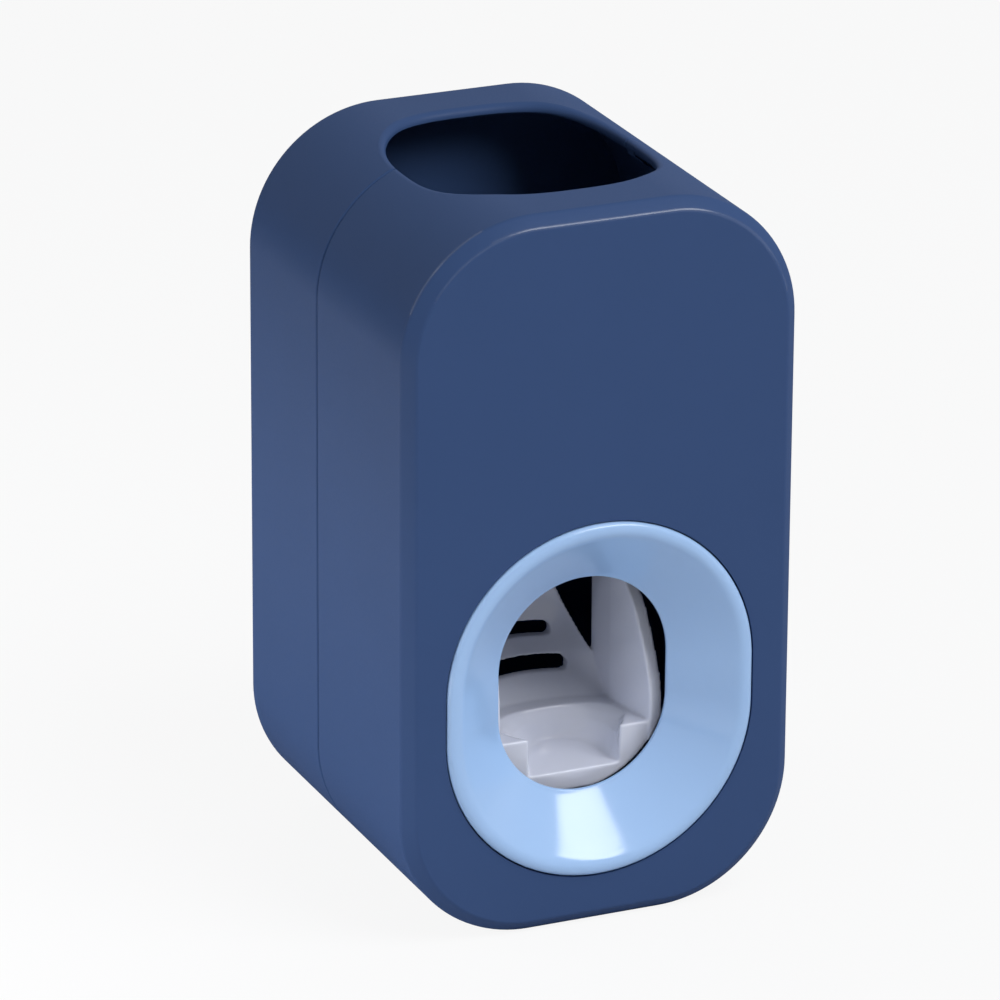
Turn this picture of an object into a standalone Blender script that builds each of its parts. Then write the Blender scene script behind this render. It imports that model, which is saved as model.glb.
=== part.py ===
"""Push-to-dispense toothpaste squeezer: a housing, a brush cradle on a lever, and the pump it works.

Front of the housing towards -Y, up is +Z, origin at the middle of the base. Lengths are in metres.
Pushing the cradle back turns the lever, whose crank arms lift the crosshead and the piston. Paste in the
barrel goes forward through the manifold and out over the brush. The spring brings everything back, and the
barrel fills from the tube's neck above.
"""
import math

import bmesh
import bpy
from mathutils import Vector

MM = 0.001

# Clearances and overruns shared by all pieces
GAP = 0.3 * MM
OVERRUN = 1.0 * MM
WELD = 0.001 * MM

# Housing
BODY_WIDTH = 62.7 * MM
BODY_HEIGHT = 112.0 * MM
BODY_CORNER_RADIUS = 20.7 * MM
REAR_CLEARANCE = 1.9 * MM
WALL = 2.0 * MM
FACE_BEVEL = 1.85 * MM
BACK_ROUND = 0.9 * MM
SEAM_DEPTH = 33.5 * MM
LIP_LENGTH = 3.0 * MM
LIP_THICKNESS = 1.0 * MM
LIP_ROOT = 2.5 * MM

# Tube mouth in the top
MOUTH_HALF_X = 18.3 * MM
MOUTH_HALF_Y = 20.1 * MM
MOUTH_DEPTH = 30.7 * MM
MOUTH_CUT = 16.0 * MM
MOUTH_ROUND = 1.2 * MM
MOUTH_POWER = 2.7
MOUTH_RELIEF = 1.6 * MM

# Bezel ring round the brush port
RING_Z = 35.9 * MM
RING_RADIUS = 24.6 * MM
RING_STRAIGHT = 3.5 * MM
RING_PROUD = 0.6 * MM
RING_SEAT = 1.0 * MM
RING_RIM = 2.8 * MM
RING_LEDGE = 1.5 * MM
RING_WALL = 1.8 * MM
RING_CATCH = 0.8 * MM
RING_CATCH_WIDTH = 8.0 * MM
PORT_RADIUS = 13.6 * MM
PORT_STRAIGHT = 3.3 * MM
PORT_DEPTH = 6.4 * MM

# Wall plate and its adhesive pad
PLATE_THICKNESS = 2.0 * MM
PLATE_WIDTH = 44.0 * MM
PLATE_HEIGHT = 48.0 * MM
PLATE_CORNER = 7.0 * MM
PLATE_BOTTOM = 50.0 * MM
PAD_THICKNESS = 0.8 * MM
PAD_MARGIN = 2.0 * MM
STUD_X = 11.0 * MM
STUD_DROP = 12.0 * MM
STUD_NECK = 1.9 * MM
STUD_HEAD = 3.9 * MM
STUD_HEAD_HEIGHT = 1.5 * MM
STUD_TRAVEL = 9.0 * MM

# Lever: pivot, crank and cradle
PIVOT_DEPTH = 26.3 * MM
PIVOT_Z = 56.0 * MM
PIVOT_BOSS = 4.0 * MM
PIN_RADIUS = 1.5 * MM
CRANK_Z = 42.0 * MM
CRANK_BOSS = 3.7 * MM
LEVER_SWING = math.radians(20.0)
CRANK_LIFT = 7.7 * MM
ARM_INNER = 10.3 * MM
ARM_THICKNESS = 2.0 * MM
CRADLE_GAP = 1.0 * MM
CRADLE_BOTTOM = 17.6 * MM
CRADLE_FLARE = 1.9 * MM
CRADLE_FLARE_BACK = 10.5 * MM
LEDGE_Z = 26.9 * MM
NOTCH_HALF = 7.4 * MM
NOTCH_FLOOR = 20.9 * MM
POCKET_HALF = 10.3 * MM
POCKET_FLOOR_HALF = 6.0 * MM
POCKET_RISE = 1.2 * MM
POCKET_LENGTH = 11.3 * MM
POCKET_FLOOR_LENGTH = 10.2 * MM
POCKET_SHOULDER = 4.5 * MM
POCKET_FLOOR_POWER = 1.8
POCKET_RIM_POWER = 2.5
NECK_BACK = 17.6 * MM
WALL_STRAIGHT_TOP = 30.0 * MM
WALL_SLOPE_TOP = 44.0 * MM
WALL_SLOPE_BACK = 5.6 * MM
WALL_SLOPE_CURVE = 1.3
WALL_BROW_BACK = 9.8 * MM
WALL_BROW_TOP = 50.5 * MM
TONGUE_FOOT_BACK = 14.2 * MM
TONGUE_TOP_BACK = 24.6 * MM
TONGUE_TOP = 43.5 * MM
TONGUE_TOP_HALF = 5.7 * MM
TONGUE_THICKNESS = 1.8 * MM
TONGUE_FOOT_SAG = 2.0 * MM
TONGUE_SAG = 5.0 * MM
TONGUE_CURVE = 2.6
TONGUE_STRAIGHT_SHARE = 0.35
TONGUE_CLEARANCE = 0.7 * MM
CUT_TIP = 32.7 * MM
SLOT_HEIGHT = 1.7 * MM
SLOT_LOW = 30.6 * MM
SLOT_HIGH = 34.8 * MM
SLOT_EDGE = 3.8 * MM

# Pump: barrel, piston and crosshead
BARREL_BORE = 5.2 * MM
BARREL_WALL = 1.0 * MM
BARREL_BELOW = 10.6 * MM
FLANGE_RADIUS = 8.4 * MM
FLANGE_THICKNESS = 1.5 * MM
GASKET_THICKNESS = 0.8 * MM
GASKET_INSET = 0.4 * MM
PISTON_HEIGHT = 4.0 * MM
PISTON_GROOVE = 1.4 * MM
PISTON_GROOVE_DEPTH = 1.1 * MM
STEM_RADIUS = 2.4 * MM
STEM_SOCKET_WALL = 1.4 * MM
STEM_SOCKET = 3.5 * MM
CUP_FLOOR = 2.0 * MM
CUP_BELOW = 5.0 * MM
CUP_ABOVE = 2.0 * MM
TRUNNION_LAND = 0.5 * MM
WIRE_RADIUS = 0.45 * MM
SPRING_TURNS = 5.5

# Frame that carries the pump
FRAME_TOP_THICKNESS = 2.0 * MM
CHEEK_GAP = 0.5 * MM
CHEEK_THICKNESS = 2.2 * MM
CHEEK_BOSS = 5.2 * MM
CHEEK_WEB = 6.0 * MM
EAR_SETBACK = 7.2 * MM
EAR_THICKNESS = 2.0 * MM
EAR_MARGIN = 4.6 * MM
EAR_CLEARANCE = 2.7 * MM
FIXING_LOW = 46.0 * MM
FIXING_HIGH = 66.0 * MM
FIXING_BOSS = 3.6 * MM
FIXING_HOLE = 1.5 * MM
SCREW_SHANK = 1.2 * MM
SCREW_HEAD = 2.7 * MM
SCREW_HEAD_HEIGHT = 1.7 * MM
SCREW_LENGTH = 7.0 * MM
SCREW_SLOT = 0.5 * MM
PILOT_DEPTH = 5.6 * MM

# Manifold, inlet and outlet
DUCT_RADIUS = 2.2 * MM
DUCT_RISE = 3.9 * MM
MANIFOLD_HALF = 9.5 * MM
MANIFOLD_HEIGHT = 9.5 * MM
MANIFOLD_NOSE = 7.0 * MM
NOZZLE_DEPTH = 18.3 * MM
SPOUT_RADIUS = 3.4 * MM
SPOUT_BORE = 1.9 * MM
SPOUT_LENGTH = 9.0 * MM
LUG_X = 12.3 * MM
LUG_RADIUS = 3.0 * MM
LUG_HEIGHT = 3.0 * MM
LUG_FRONT_DEPTH = 24.3 * MM
POST_RADIUS = 2.5 * MM
POST_HOLE = 1.3 * MM
CLAMP_SHANK = 1.0 * MM
CLAMP_HEAD = 2.2 * MM
CLAMP_HEAD_HEIGHT = 1.5 * MM
CLAMP_LENGTH = 7.0 * MM
SEAT_DEPTH = 29.9 * MM
SEAT_FLANGE = 10.4 * MM
SEAT_FLANGE_THICKNESS = 1.5 * MM
SEAT_BORE = 5.0 * MM
SEAT_MOUTH = 7.4 * MM
SEAT_WALL = 2.0 * MM
SEAT_HEIGHT = 8.6 * MM
COLLAR_WALL = 1.5 * MM
COLLAR_LIP = 2.0 * MM
FLAP_RADIUS = 5.0 * MM
FLAP_THICKNESS = 0.8 * MM
FLAP_CHAMBER = 1.8 * MM
PLUG_HEAD = 3.2 * MM
PLUG_HEAD_HEIGHT = 0.8 * MM
PLUG_LENGTH = 3.4 * MM
VALVE_FLANGE = 1.0 * MM
VALVE_WALL = 0.9 * MM
VALVE_TUBE = 3.2 * MM
VALVE_BILL = 3.4 * MM
VALVE_EDGE = 1.1 * MM
NOZZLE_WALL = 1.5 * MM
NOZZLE_FLOOR = 2.0 * MM
CLIP_THICKNESS = 0.6 * MM
CLIP_RADIUS = 2.9 * MM
PIN_END = 0.5 * MM

# Depths from the front face, each set by what stands in front of it
LIP_DEPTH = PORT_DEPTH + RING_WALL - GAP + CRADLE_GAP
TONGUE_SWEEP = (PIVOT_Z - TONGUE_TOP) * math.sin(LEVER_SWING)
BARREL_RADIUS = BARREL_BORE + BARREL_WALL
SPRING_RADIUS = BARREL_RADIUS + 2 * GAP + WIRE_RADIUS
CUP_INNER = BARREL_RADIUS + GAP
CUP_OUTER = SPRING_RADIUS + WIRE_RADIUS + GAP
TONGUE_DEPTH = LIP_DEPTH + TONGUE_TOP_BACK + TONGUE_THICKNESS + TONGUE_SWEEP
PUMP_DEPTH = TONGUE_DEPTH + TONGUE_CLEARANCE + CUP_OUTER
BODY_DEPTH = PUMP_DEPTH + FLANGE_RADIUS + REAR_CLEARANCE + WALL

# Places worked out from the sizes above
TOTAL_DEPTH = RING_PROUD + BODY_DEPTH + GAP + PLATE_THICKNESS + GAP + PAD_THICKNESS
FACE_Y = RING_PROUD - TOTAL_DEPTH / 2
SEAM_Y = FACE_Y + SEAM_DEPTH
BACK_Y = FACE_Y + BODY_DEPTH
MOUTH_Y = FACE_Y + MOUTH_DEPTH
SEAT_Y = FACE_Y + SEAT_DEPTH
PIVOT_Y = FACE_Y + PIVOT_DEPTH
PUMP_Y = FACE_Y + PUMP_DEPTH
NOZZLE_Y = FACE_Y + NOZZLE_DEPTH
LIP_Y = FACE_Y + LIP_DEPTH
FRAME_BOTTOM = PIVOT_Z + PIVOT_BOSS + 2 * GAP
FRAME_TOP = FRAME_BOTTOM + FRAME_TOP_THICKNESS
FLANGE_Z = FRAME_TOP + GAP
GASKET_Z = FLANGE_Z + FLANGE_THICKNESS + GAP
MANIFOLD_Z = GASKET_Z + GASKET_THICKNESS + GAP
MANIFOLD_TOP = MANIFOLD_Z + MANIFOLD_HEIGHT
DUCT_Z = MANIFOLD_Z + DUCT_RISE
BARREL_BOTTOM = FRAME_BOTTOM - BARREL_BELOW
BARREL_TOP = FLANGE_Z + FLANGE_THICKNESS
PISTON_TOP = BARREL_TOP - CRANK_LIFT - GAP
CUP_BOTTOM = CRANK_Z - CUP_BELOW
CUP_TOP = CRANK_Z + CUP_ABOVE
ARM_OUTER = ARM_INNER + ARM_THICKNESS
CHEEK_INNER = ARM_OUTER + CHEEK_GAP
CHEEK_OUTER = CHEEK_INNER + CHEEK_THICKNESS
EAR_Y = BACK_Y - WALL - EAR_SETBACK
EAR_OUTER = BODY_WIDTH / 2 - WALL - EAR_CLEARANCE
FIXING_X = (CHEEK_OUTER + EAR_OUTER) / 2
STUD_Z = PLATE_BOTTOM + PLATE_HEIGHT - STUD_DROP
CRANK_PIN_Z = CRANK_Z - PIVOT_Z
CRANK_PIN_Y = PUMP_Y - PIVOT_Y

# How finely the round shapes are cut
CORNER_STEPS = 10
ROUND_STEPS = 32
SMALL_STEPS = 16
SCREW_STEPS = 12

# What is left of a round's radius at its half-way point, measured square to either face
HALF_ROUND_SHARE = 1 - math.sqrt(0.5)


# Materials

def plastic(name, colour, roughness, metallic=0.0):
    """A plain Principled material with the piece's colour and gloss."""
    material = bpy.data.materials.new(name)
    material.use_nodes = True
    shader = material.node_tree.nodes["Principled BSDF"]
    shader.inputs["Base Color"].default_value = (*colour, 1.0)
    shader.inputs["Roughness"].default_value = roughness
    shader.inputs["Metallic"].default_value = metallic
    material.diffuse_color = (*colour, 1.0)
    return material


# Outlines, as lists of flat points

def arc(centre_u, centre_v, radius, start, end, steps):
    """Points along an arc, both ends included; angles in degrees."""
    points = []
    for i in range(steps + 1):
        angle = math.radians(start + (end - start) * i / steps)
        points.append((centre_u + radius * math.cos(angle), centre_v + radius * math.sin(angle)))
    return points


def circle(centre_u, centre_v, radius, steps):
    """A closed circle."""
    return arc(centre_u, centre_v, radius, 0, 360, steps)[:-1]


def rounded_rectangle(low_u, high_u, low_v, high_v, radius, steps=CORNER_STEPS):
    """A closed rectangle with round corners."""
    right, left = high_u - radius, low_u + radius
    top, bottom = high_v - radius, low_v + radius
    return (arc(right, top, radius, 0, 90, steps) + arc(left, top, radius, 90, 180, steps)
            + arc(left, bottom, radius, 180, 270, steps) + arc(right, bottom, radius, 270, 360, steps))


def upright_stadium(centre_v, radius, straight, steps=ROUND_STEPS):
    """A circle pulled apart upwards and downwards by a straight stretch on each side."""
    half = steps // 2
    return (arc(0, centre_v + straight, radius, 0, 180, half)
            + arc(0, centre_v - straight, radius, 180, 360, half))


def lying_stadium(centre_v, half_length, radius, steps=SMALL_STEPS):
    """A slot outline lying level, centred on u = 0."""
    half = steps // 2
    straight = half_length - radius
    return (arc(straight, centre_v, radius, -90, 90, half)
            + arc(-straight, centre_v, radius, 90, 270, half))


def superellipse(centre_u, centre_v, half_u, half_v, power, steps):
    """A closed oval, squarer than an ellipse when the power is above 2."""
    points = []
    for i in range(steps):
        angle = math.tau * i / steps
        c, s = math.cos(angle), math.sin(angle)
        points.append((centre_u + half_u * math.copysign(abs(c) ** (2 / power), c),
                       centre_v + half_v * math.copysign(abs(s) ** (2 / power), s)))
    return points


def tapered_bar(u1, v1, radius1, u2, v2, radius2, steps=SMALL_STEPS):
    """The outline of a bar that wraps two round ends."""
    along = math.atan2(v2 - v1, u2 - u1)
    side = math.acos((radius1 - radius2) / math.hypot(u2 - u1, v2 - v1))
    from1, to1 = math.degrees(along + side), math.degrees(along - side + math.tau)
    from2, to2 = math.degrees(along - side), math.degrees(along + side)
    return arc(u1, v1, radius1, from1, to1, steps) + arc(u2, v2, radius2, from2, to2, steps)


# Solids

def skin(loops, closed=False):
    """Skin a row of closed outlines with equal counts; the ends are capped unless the row closes."""
    bm = bmesh.new()
    rows = [[bm.verts.new(point) for point in loop] for loop in loops]
    count = len(rows[0])
    pairs = list(zip(rows, rows[1:]))
    if closed:
        pairs.append((rows[-1], rows[0]))
    for first, second in pairs:
        for i in range(count):
            j = (i + 1) % count
            bm.faces.new((first[i], first[j], second[j], second[i]))
    if not closed:
        bm.faces.new(rows[0])
        bm.faces.new(rows[-1])
    bmesh.ops.remove_doubles(bm, verts=bm.verts, dist=WELD)
    bmesh.ops.recalc_face_normals(bm, faces=bm.faces)
    return bm


def prism(outline, axis, low, high):
    """Extrude an outline along X (points are y, z), Y (points are x, z) or Z (points are x, y)."""
    place = {"X": lambda u, v, w: (w, u, v),
             "Y": lambda u, v, w: (u, w, v),
             "Z": lambda u, v, w: (u, v, w)}[axis]
    return skin([[place(u, v, w) for u, v in outline] for w in (low, high)])


def turned(profile, centre, axis, steps):
    """Turn a closed (radius, height) profile about an axis through centre; radius 0 closes on the axis."""
    bm = bmesh.new()
    place = {"X": lambda c, s, h: (h, c, s),
             "Y": lambda c, s, h: (s, h, c),
             "Z": lambda c, s, h: (c, s, h)}[axis]
    rows = []
    for radius, height in profile:
        if radius == 0:
            rows.append([bm.verts.new(Vector(centre) + Vector(place(0, 0, height)))])
            continue
        row = []
        for i in range(steps):
            angle = math.tau * i / steps
            spot = place(radius * math.cos(angle), radius * math.sin(angle), height)
            row.append(bm.verts.new(Vector(centre) + Vector(spot)))
        rows.append(row)
    for first, second in zip(rows, rows[1:] + rows[:1]):
        for i in range(steps):
            j = (i + 1) % steps
            corners = [first[i % len(first)], first[j % len(first)],
                       second[j % len(second)], second[i % len(second)]]
            corners = list(dict.fromkeys(corners))
            if len(corners) > 2:
                bm.faces.new(corners)
    bmesh.ops.recalc_face_normals(bm, faces=bm.faces)
    return bm


def solid_rod(centre, axis, radius, low, high, steps):
    """A plain round rod from low to high along an axis through centre."""
    return turned([(0, low), (radius, low), (radius, high), (0, high)], centre, axis, steps)


def joined(*parts):
    """Several loose closed shapes in one mesh."""
    bm = bmesh.new()
    for part in parts:
        mesh = bpy.data.meshes.new("loose")
        part.to_mesh(mesh)
        bm.from_mesh(mesh)
        bpy.data.meshes.remove(mesh)
        part.free()
    return bm


def mirrored(bm):
    """A copy of a mesh with left and right exchanged."""
    copy = bm.copy()
    for vert in copy.verts:
        vert.co.x = -vert.co.x
    bmesh.ops.reverse_faces(copy, faces=copy.faces)
    return copy


def as_object(name, bm):
    """Turn a bmesh into an object of that name."""
    mesh = bpy.data.meshes.new(name)
    bm.to_mesh(mesh)
    bm.free()
    thing = bpy.data.objects.new(name, mesh)
    bpy.context.scene.collection.objects.link(thing)
    return thing


def combine(thing, operation, *shapes):
    """Join shapes to an object, or cut them from it, with an exact Boolean for each."""
    for shape in shapes:
        tool = as_object("tool", shape)
        tool.hide_render = True
        tool.display_type = "WIRE"
        change = thing.modifiers.new("change", "BOOLEAN")
        change.solver = "EXACT"
        change.operation = operation
        change.object = tool
        bpy.context.view_layer.update()
        evaluated = thing.evaluated_get(bpy.context.evaluated_depsgraph_get())
        result = bpy.data.meshes.new_from_object(evaluated)
        thing.modifiers.remove(change)
        old = thing.data
        thing.data = result
        bpy.data.meshes.remove(old)
        bpy.data.objects.remove(tool)
        weld(result)
    thing.data.name = thing.name


def weld(mesh):
    """Merge the doubled points that a cut leaves behind."""
    bm = bmesh.new()
    bm.from_mesh(mesh)
    bmesh.ops.remove_doubles(bm, verts=bm.verts, dist=WELD)
    bmesh.ops.dissolve_degenerate(bm, edges=bm.edges, dist=WELD)
    bm.to_mesh(mesh)
    bm.free()


def finish(thing, material, origin=(0, 0, 0), parent=None):
    """Give a piece its material, smooth shading and its origin, and hang it on its parent."""
    mesh = thing.data
    bm = bmesh.new()
    bm.from_mesh(mesh)
    bmesh.ops.translate(bm, verts=bm.verts, vec=-Vector(origin))
    bmesh.ops.triangulate(bm, faces=bm.faces)
    bm.to_mesh(mesh)
    bm.free()
    mesh.materials.clear()
    mesh.materials.append(material)
    mesh.shade_smooth()
    mesh.set_sharp_from_angle(angle=math.radians(30))
    if parent is None:
        thing.location = origin
    else:
        thing.parent = parent
        thing.location = Vector(origin) - parent.location
    return thing


def guide(name, location):
    """An empty on a joint's axis, which carries that joint's pieces."""
    empty = bpy.data.objects.new(name, None)
    empty.location = location
    empty.empty_display_size = WALL
    bpy.context.scene.collection.objects.link(empty)
    return empty


# Housing

def body_outline(inset):
    """The housing's outline seen from the front, drawn in by an inset."""
    half = BODY_WIDTH / 2 - inset
    return rounded_rectangle(-half, half, inset, BODY_HEIGHT - inset, BODY_CORNER_RADIUS - inset)


def body_loop(inset, y):
    """That outline standing at one depth."""
    return [(x, y, z) for x, z in body_outline(inset)]


def top_height(x, inset=0):
    """Height of the housing's top, or of a face some way below it; both fall away at the round corners."""
    past = max(0, abs(x) - (BODY_WIDTH / 2 - BODY_CORNER_RADIUS))
    return BODY_HEIGHT - BODY_CORNER_RADIUS + math.sqrt((BODY_CORNER_RADIUS - inset) ** 2 - past ** 2)


def mouth_loop(grow, place):
    """The mouth's oval, grown all round, with its height at each x given by a function."""
    half_x, half_y = MOUTH_HALF_X + grow, MOUTH_HALF_Y + grow
    outline = superellipse(0, MOUTH_Y, half_x, half_y, MOUTH_POWER, 2 * ROUND_STEPS)
    return [(x, y, place(x)) for x, y in outline]


def mouth_cutter():
    """The oval that opens the top for the tube and rounds the edge over, which follows the top's curve."""
    half_way = MOUTH_ROUND * HALF_ROUND_SHARE
    climb = half_way * OVERRUN / (MOUTH_ROUND - half_way)
    return skin([mouth_loop(0, lambda x: BODY_HEIGHT - MOUTH_CUT),
                 mouth_loop(0, lambda x: top_height(x) - MOUTH_ROUND),
                 mouth_loop(half_way, lambda x: top_height(x) - half_way),
                 mouth_loop(MOUTH_ROUND + OVERRUN, lambda x: top_height(x) + climb),
                 mouth_loop(MOUTH_ROUND + OVERRUN, lambda x: BODY_HEIGHT + 2 * OVERRUN)])


def lip_relief():
    """The space under the mouth's edge that the rear shell's lip leaves free, so that only the wall shows."""
    below = WALL + GAP / 2
    return skin([mouth_loop(MOUTH_RELIEF, lambda x: BODY_HEIGHT - MOUTH_CUT),
                 mouth_loop(MOUTH_RELIEF, lambda x: top_height(x, below)),
                 mouth_loop(-OVERRUN, lambda x: top_height(x, below))])


def ring_skirt_radius():
    """Radius of the ring's skirt, which passes through the front wall."""
    return RING_RADIUS - RING_LEDGE


def front_shell(material, parent):
    """Front half of the housing: bevelled face, hole for the ring with its seat, half of the mouth."""
    half_way = FACE_BEVEL * HALF_ROUND_SHARE
    loops = [body_loop(FACE_BEVEL, FACE_Y),
             body_loop(half_way, FACE_Y + half_way),
             body_loop(0, FACE_Y + FACE_BEVEL),
             body_loop(0, SEAM_Y - GAP / 2),
             body_loop(WALL, SEAM_Y - GAP / 2),
             body_loop(WALL, FACE_Y + WALL)]
    shell = as_object("front_shell", skin(loops))
    seat = prism(upright_stadium(RING_Z, RING_RADIUS + GAP, RING_STRAIGHT), "Y",
                 FACE_Y - OVERRUN, FACE_Y + RING_SEAT)
    hole = prism(upright_stadium(RING_Z, ring_skirt_radius() + GAP, RING_STRAIGHT), "Y",
                 FACE_Y - OVERRUN, FACE_Y + WALL + OVERRUN)
    combine(shell, "DIFFERENCE", seat, hole, mouth_cutter())
    return finish(shell, material, (0, SEAM_Y, BODY_HEIGHT / 2), parent)


def fixing_places():
    """Where the frame's screws stand, seen from the front."""
    return [(x, z) for x in (-FIXING_X, FIXING_X) for z in (FIXING_LOW, FIXING_HIGH)]


def keyhole(side):
    """A keyhole through the rear wall: wide below, where the stud's head goes in, narrow above."""
    x = side * STUD_X
    neck = STUD_NECK + GAP
    low = STUD_Z - STUD_TRAVEL
    near, far = BACK_Y - WALL - OVERRUN, BACK_Y + OVERRUN
    wide = prism(circle(x, low, STUD_HEAD + 2 * GAP, 2 * SCREW_STEPS), "Y", near, far)
    slot = prism(arc(x, STUD_Z, neck, 0, 180, SCREW_STEPS) + [(x - neck, low), (x + neck, low)],
                 "Y", near, far)
    return wide, slot


def rear_shell(material):
    """Rear half of the housing: lip inside the seam, bosses for the frame, keyholes, half of the mouth."""
    half_way = BACK_ROUND * HALF_ROUND_SHARE
    lip_outer = WALL + GAP
    lip_inner = lip_outer + LIP_THICKNESS
    loops = [body_loop(WALL, BACK_Y - WALL),
             body_loop(WALL, SEAM_Y + LIP_ROOT),
             body_loop(lip_inner, SEAM_Y + LIP_ROOT - LIP_THICKNESS),
             body_loop(lip_inner, SEAM_Y - LIP_LENGTH),
             body_loop(lip_outer, SEAM_Y - LIP_LENGTH),
             body_loop(lip_outer, SEAM_Y + GAP / 2),
             body_loop(0, SEAM_Y + GAP / 2),
             body_loop(0, BACK_Y - BACK_ROUND),
             body_loop(half_way, BACK_Y - half_way),
             body_loop(BACK_ROUND, BACK_Y)]
    shell = as_object("rear_shell", skin(loops))
    boss_end = EAR_Y + EAR_THICKNESS + GAP
    bosses = [solid_rod((x, 0, z), "Y", FIXING_BOSS, boss_end, BACK_Y - WALL / 2, SMALL_STEPS)
              for x, z in fixing_places()]
    combine(shell, "UNION", joined(*bosses))
    pilots = [solid_rod((x, 0, z), "Y", FIXING_HOLE, EAR_Y, boss_end + PILOT_DEPTH, SMALL_STEPS)
              for x, z in fixing_places()]
    combine(shell, "DIFFERENCE", joined(*pilots), lip_relief(), mouth_cutter(), *keyhole(-1), *keyhole(1))
    return finish(shell, material, (0, SEAM_Y, BODY_HEIGHT / 2))


def ring_loop(radius, depth):
    """The ring's stadium at one radius; its straight stretch goes from the port's to the rim's."""
    share = (radius - PORT_RADIUS) / (RING_RADIUS - PORT_RADIUS)
    straight = PORT_STRAIGHT + (RING_STRAIGHT - PORT_STRAIGHT) * share
    return [(x, FACE_Y + depth, z) for x, z in upright_stadium(RING_Z, radius, straight, 2 * ROUND_STEPS)]


def bezel_ring(material, parent):
    """Ring with a raised round rim and a funnel down to the port, held behind the wall by four catches."""
    crest = RING_RIM / 2
    shoulder = RING_PROUD / 2
    inner_rim = RING_RADIUS - RING_RIM
    skirt = ring_skirt_radius()
    skirt_end = WALL + GAP + RING_CATCH
    profile = [(RING_RADIUS, RING_SEAT - GAP),
               (RING_RADIUS, -shoulder / 2),
               (RING_RADIUS - crest / 3, -RING_PROUD + shoulder / 3),
               (RING_RADIUS - crest, -RING_PROUD),
               (inner_rim + crest / 3, -shoulder),
               (inner_rim, shoulder),
               (PORT_RADIUS + RING_WALL / 3, PORT_DEPTH - RING_WALL / 2),
               (PORT_RADIUS, PORT_DEPTH),
               (PORT_RADIUS, PORT_DEPTH + RING_WALL - 2 * GAP),
               (PORT_RADIUS + GAP, PORT_DEPTH + RING_WALL - GAP),
               (skirt - RING_WALL, skirt_end),
               (skirt, skirt_end),
               (skirt, RING_SEAT - GAP)]
    ring = as_object("bezel_ring", skin([ring_loop(r, d) for r, d in profile], closed=True))
    half = RING_CATCH_WIDTH / 2
    near = skirt - RING_WALL / 2
    far = skirt + GAP + RING_CATCH
    front, back = FACE_Y + WALL + GAP, FACE_Y + skirt_end
    for side in (-1, 1):
        level = sorted((side * near, side * far))
        beside = [(level[0], RING_Z - half), (level[1], RING_Z - half),
                  (level[1], RING_Z + half), (level[0], RING_Z + half)]
        reach = sorted(RING_Z + side * (RING_STRAIGHT + r) for r in (near, far))
        above = [(-half, reach[0]), (half, reach[0]), (half, reach[1]), (-half, reach[1])]
        combine(ring, "UNION", prism(beside, "Y", front, back), prism(above, "Y", front, back))
    return finish(ring, material, (0, FACE_Y, RING_Z), parent)


# Lever

def arm_face(y):
    """How far the inner face of a side wall stands from the middle at one depth."""
    straight = LIP_Y + CRADLE_FLARE_BACK
    return ARM_INNER + CRADLE_FLARE * max(0, (straight - y) / CRADLE_FLARE_BACK)


def tongue_share(z):
    """Height on the tongue, from 0 at the ledge to 1 at its top."""
    return max(0, (z - LEDGE_Z) / (TONGUE_TOP - LEDGE_Z))


def tongue_face(x, z):
    """Depth of the tongue's front face: it leans back in a curve and is hollow across."""
    share = tongue_share(z)
    rise = 1 - (1 - min(1, share)) ** TONGUE_CURVE
    middle = TONGUE_FOOT_BACK + (TONGUE_TOP_BACK - TONGUE_FOOT_BACK) * rise
    sag = TONGUE_FOOT_SAG + (TONGUE_SAG - TONGUE_FOOT_SAG) * min(1, share / TONGUE_STRAIGHT_SHARE)
    return LIP_Y + middle - sag * (x / ARM_INNER) ** 2


def tongue_half(z):
    """Half width of the tongue: it joins the side walls up to the tip of the cuts and narrows above."""
    if z <= CUT_TIP:
        return ARM_INNER + ARM_THICKNESS / 2
    share = (z - CUT_TIP) / (TONGUE_TOP - CUT_TIP)
    return ARM_INNER - GAP + (TONGUE_TOP_HALF - ARM_INNER) * share


def tongue():
    """The hollow back of the cradle, a sheet of even thickness between the side walls."""
    columns, foot_steps, top_steps = 12, 4, 7
    levels = [LEDGE_Z - OVERRUN]
    levels += [LEDGE_Z + (CUT_TIP - LEDGE_Z) * i / foot_steps for i in range(foot_steps + 1)]
    levels += [CUT_TIP + (TONGUE_TOP - CUT_TIP) * i / top_steps for i in range(1, top_steps + 1)]
    tip_half = tongue_half(CUT_TIP + OVERRUN)
    loops = []
    for z in levels:
        half = tongue_half(z)
        xs = [half * (2 * i / columns - 1) for i in range(columns + 1)]
        front = [(x, tongue_face(x, z), z) for x in xs]
        back = [(x, tongue_face(x, z) + TONGUE_THICKNESS, z) for x in reversed(xs)]
        loops.append(front + back)
        if z == CUT_TIP:
            narrow = [tip_half * (2 * i / columns - 1) for i in range(columns + 1)]
            tip = z + GAP
            front = [(x, tongue_face(x, tip), tip) for x in narrow]
            back = [(x, tongue_face(x, tip) + TONGUE_THICKNESS, tip) for x in reversed(narrow)]
            loops.append(front + back)
    return skin(loops)


def cradle_block():
    """The cradle's floor and ledge, between the side walls."""
    foot = [(x, tongue_face(x, LEDGE_Z) + TONGUE_THICKNESS)
            for x in (ARM_INNER * i / 4 for i in range(4, -5, -1))]
    front = LIP_Y + GAP
    middle = ARM_THICKNESS / 2
    side = arm_face(front) + middle
    hip = foot[0][1]
    outline = [(-side, front), (side, front), (arm_face(hip) + middle, hip)]
    outline += foot[1:-1]
    outline.append((-arm_face(hip) - middle, hip))
    return prism(outline, "Z", CRADLE_BOTTOM + GAP, LEDGE_Z)


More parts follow.
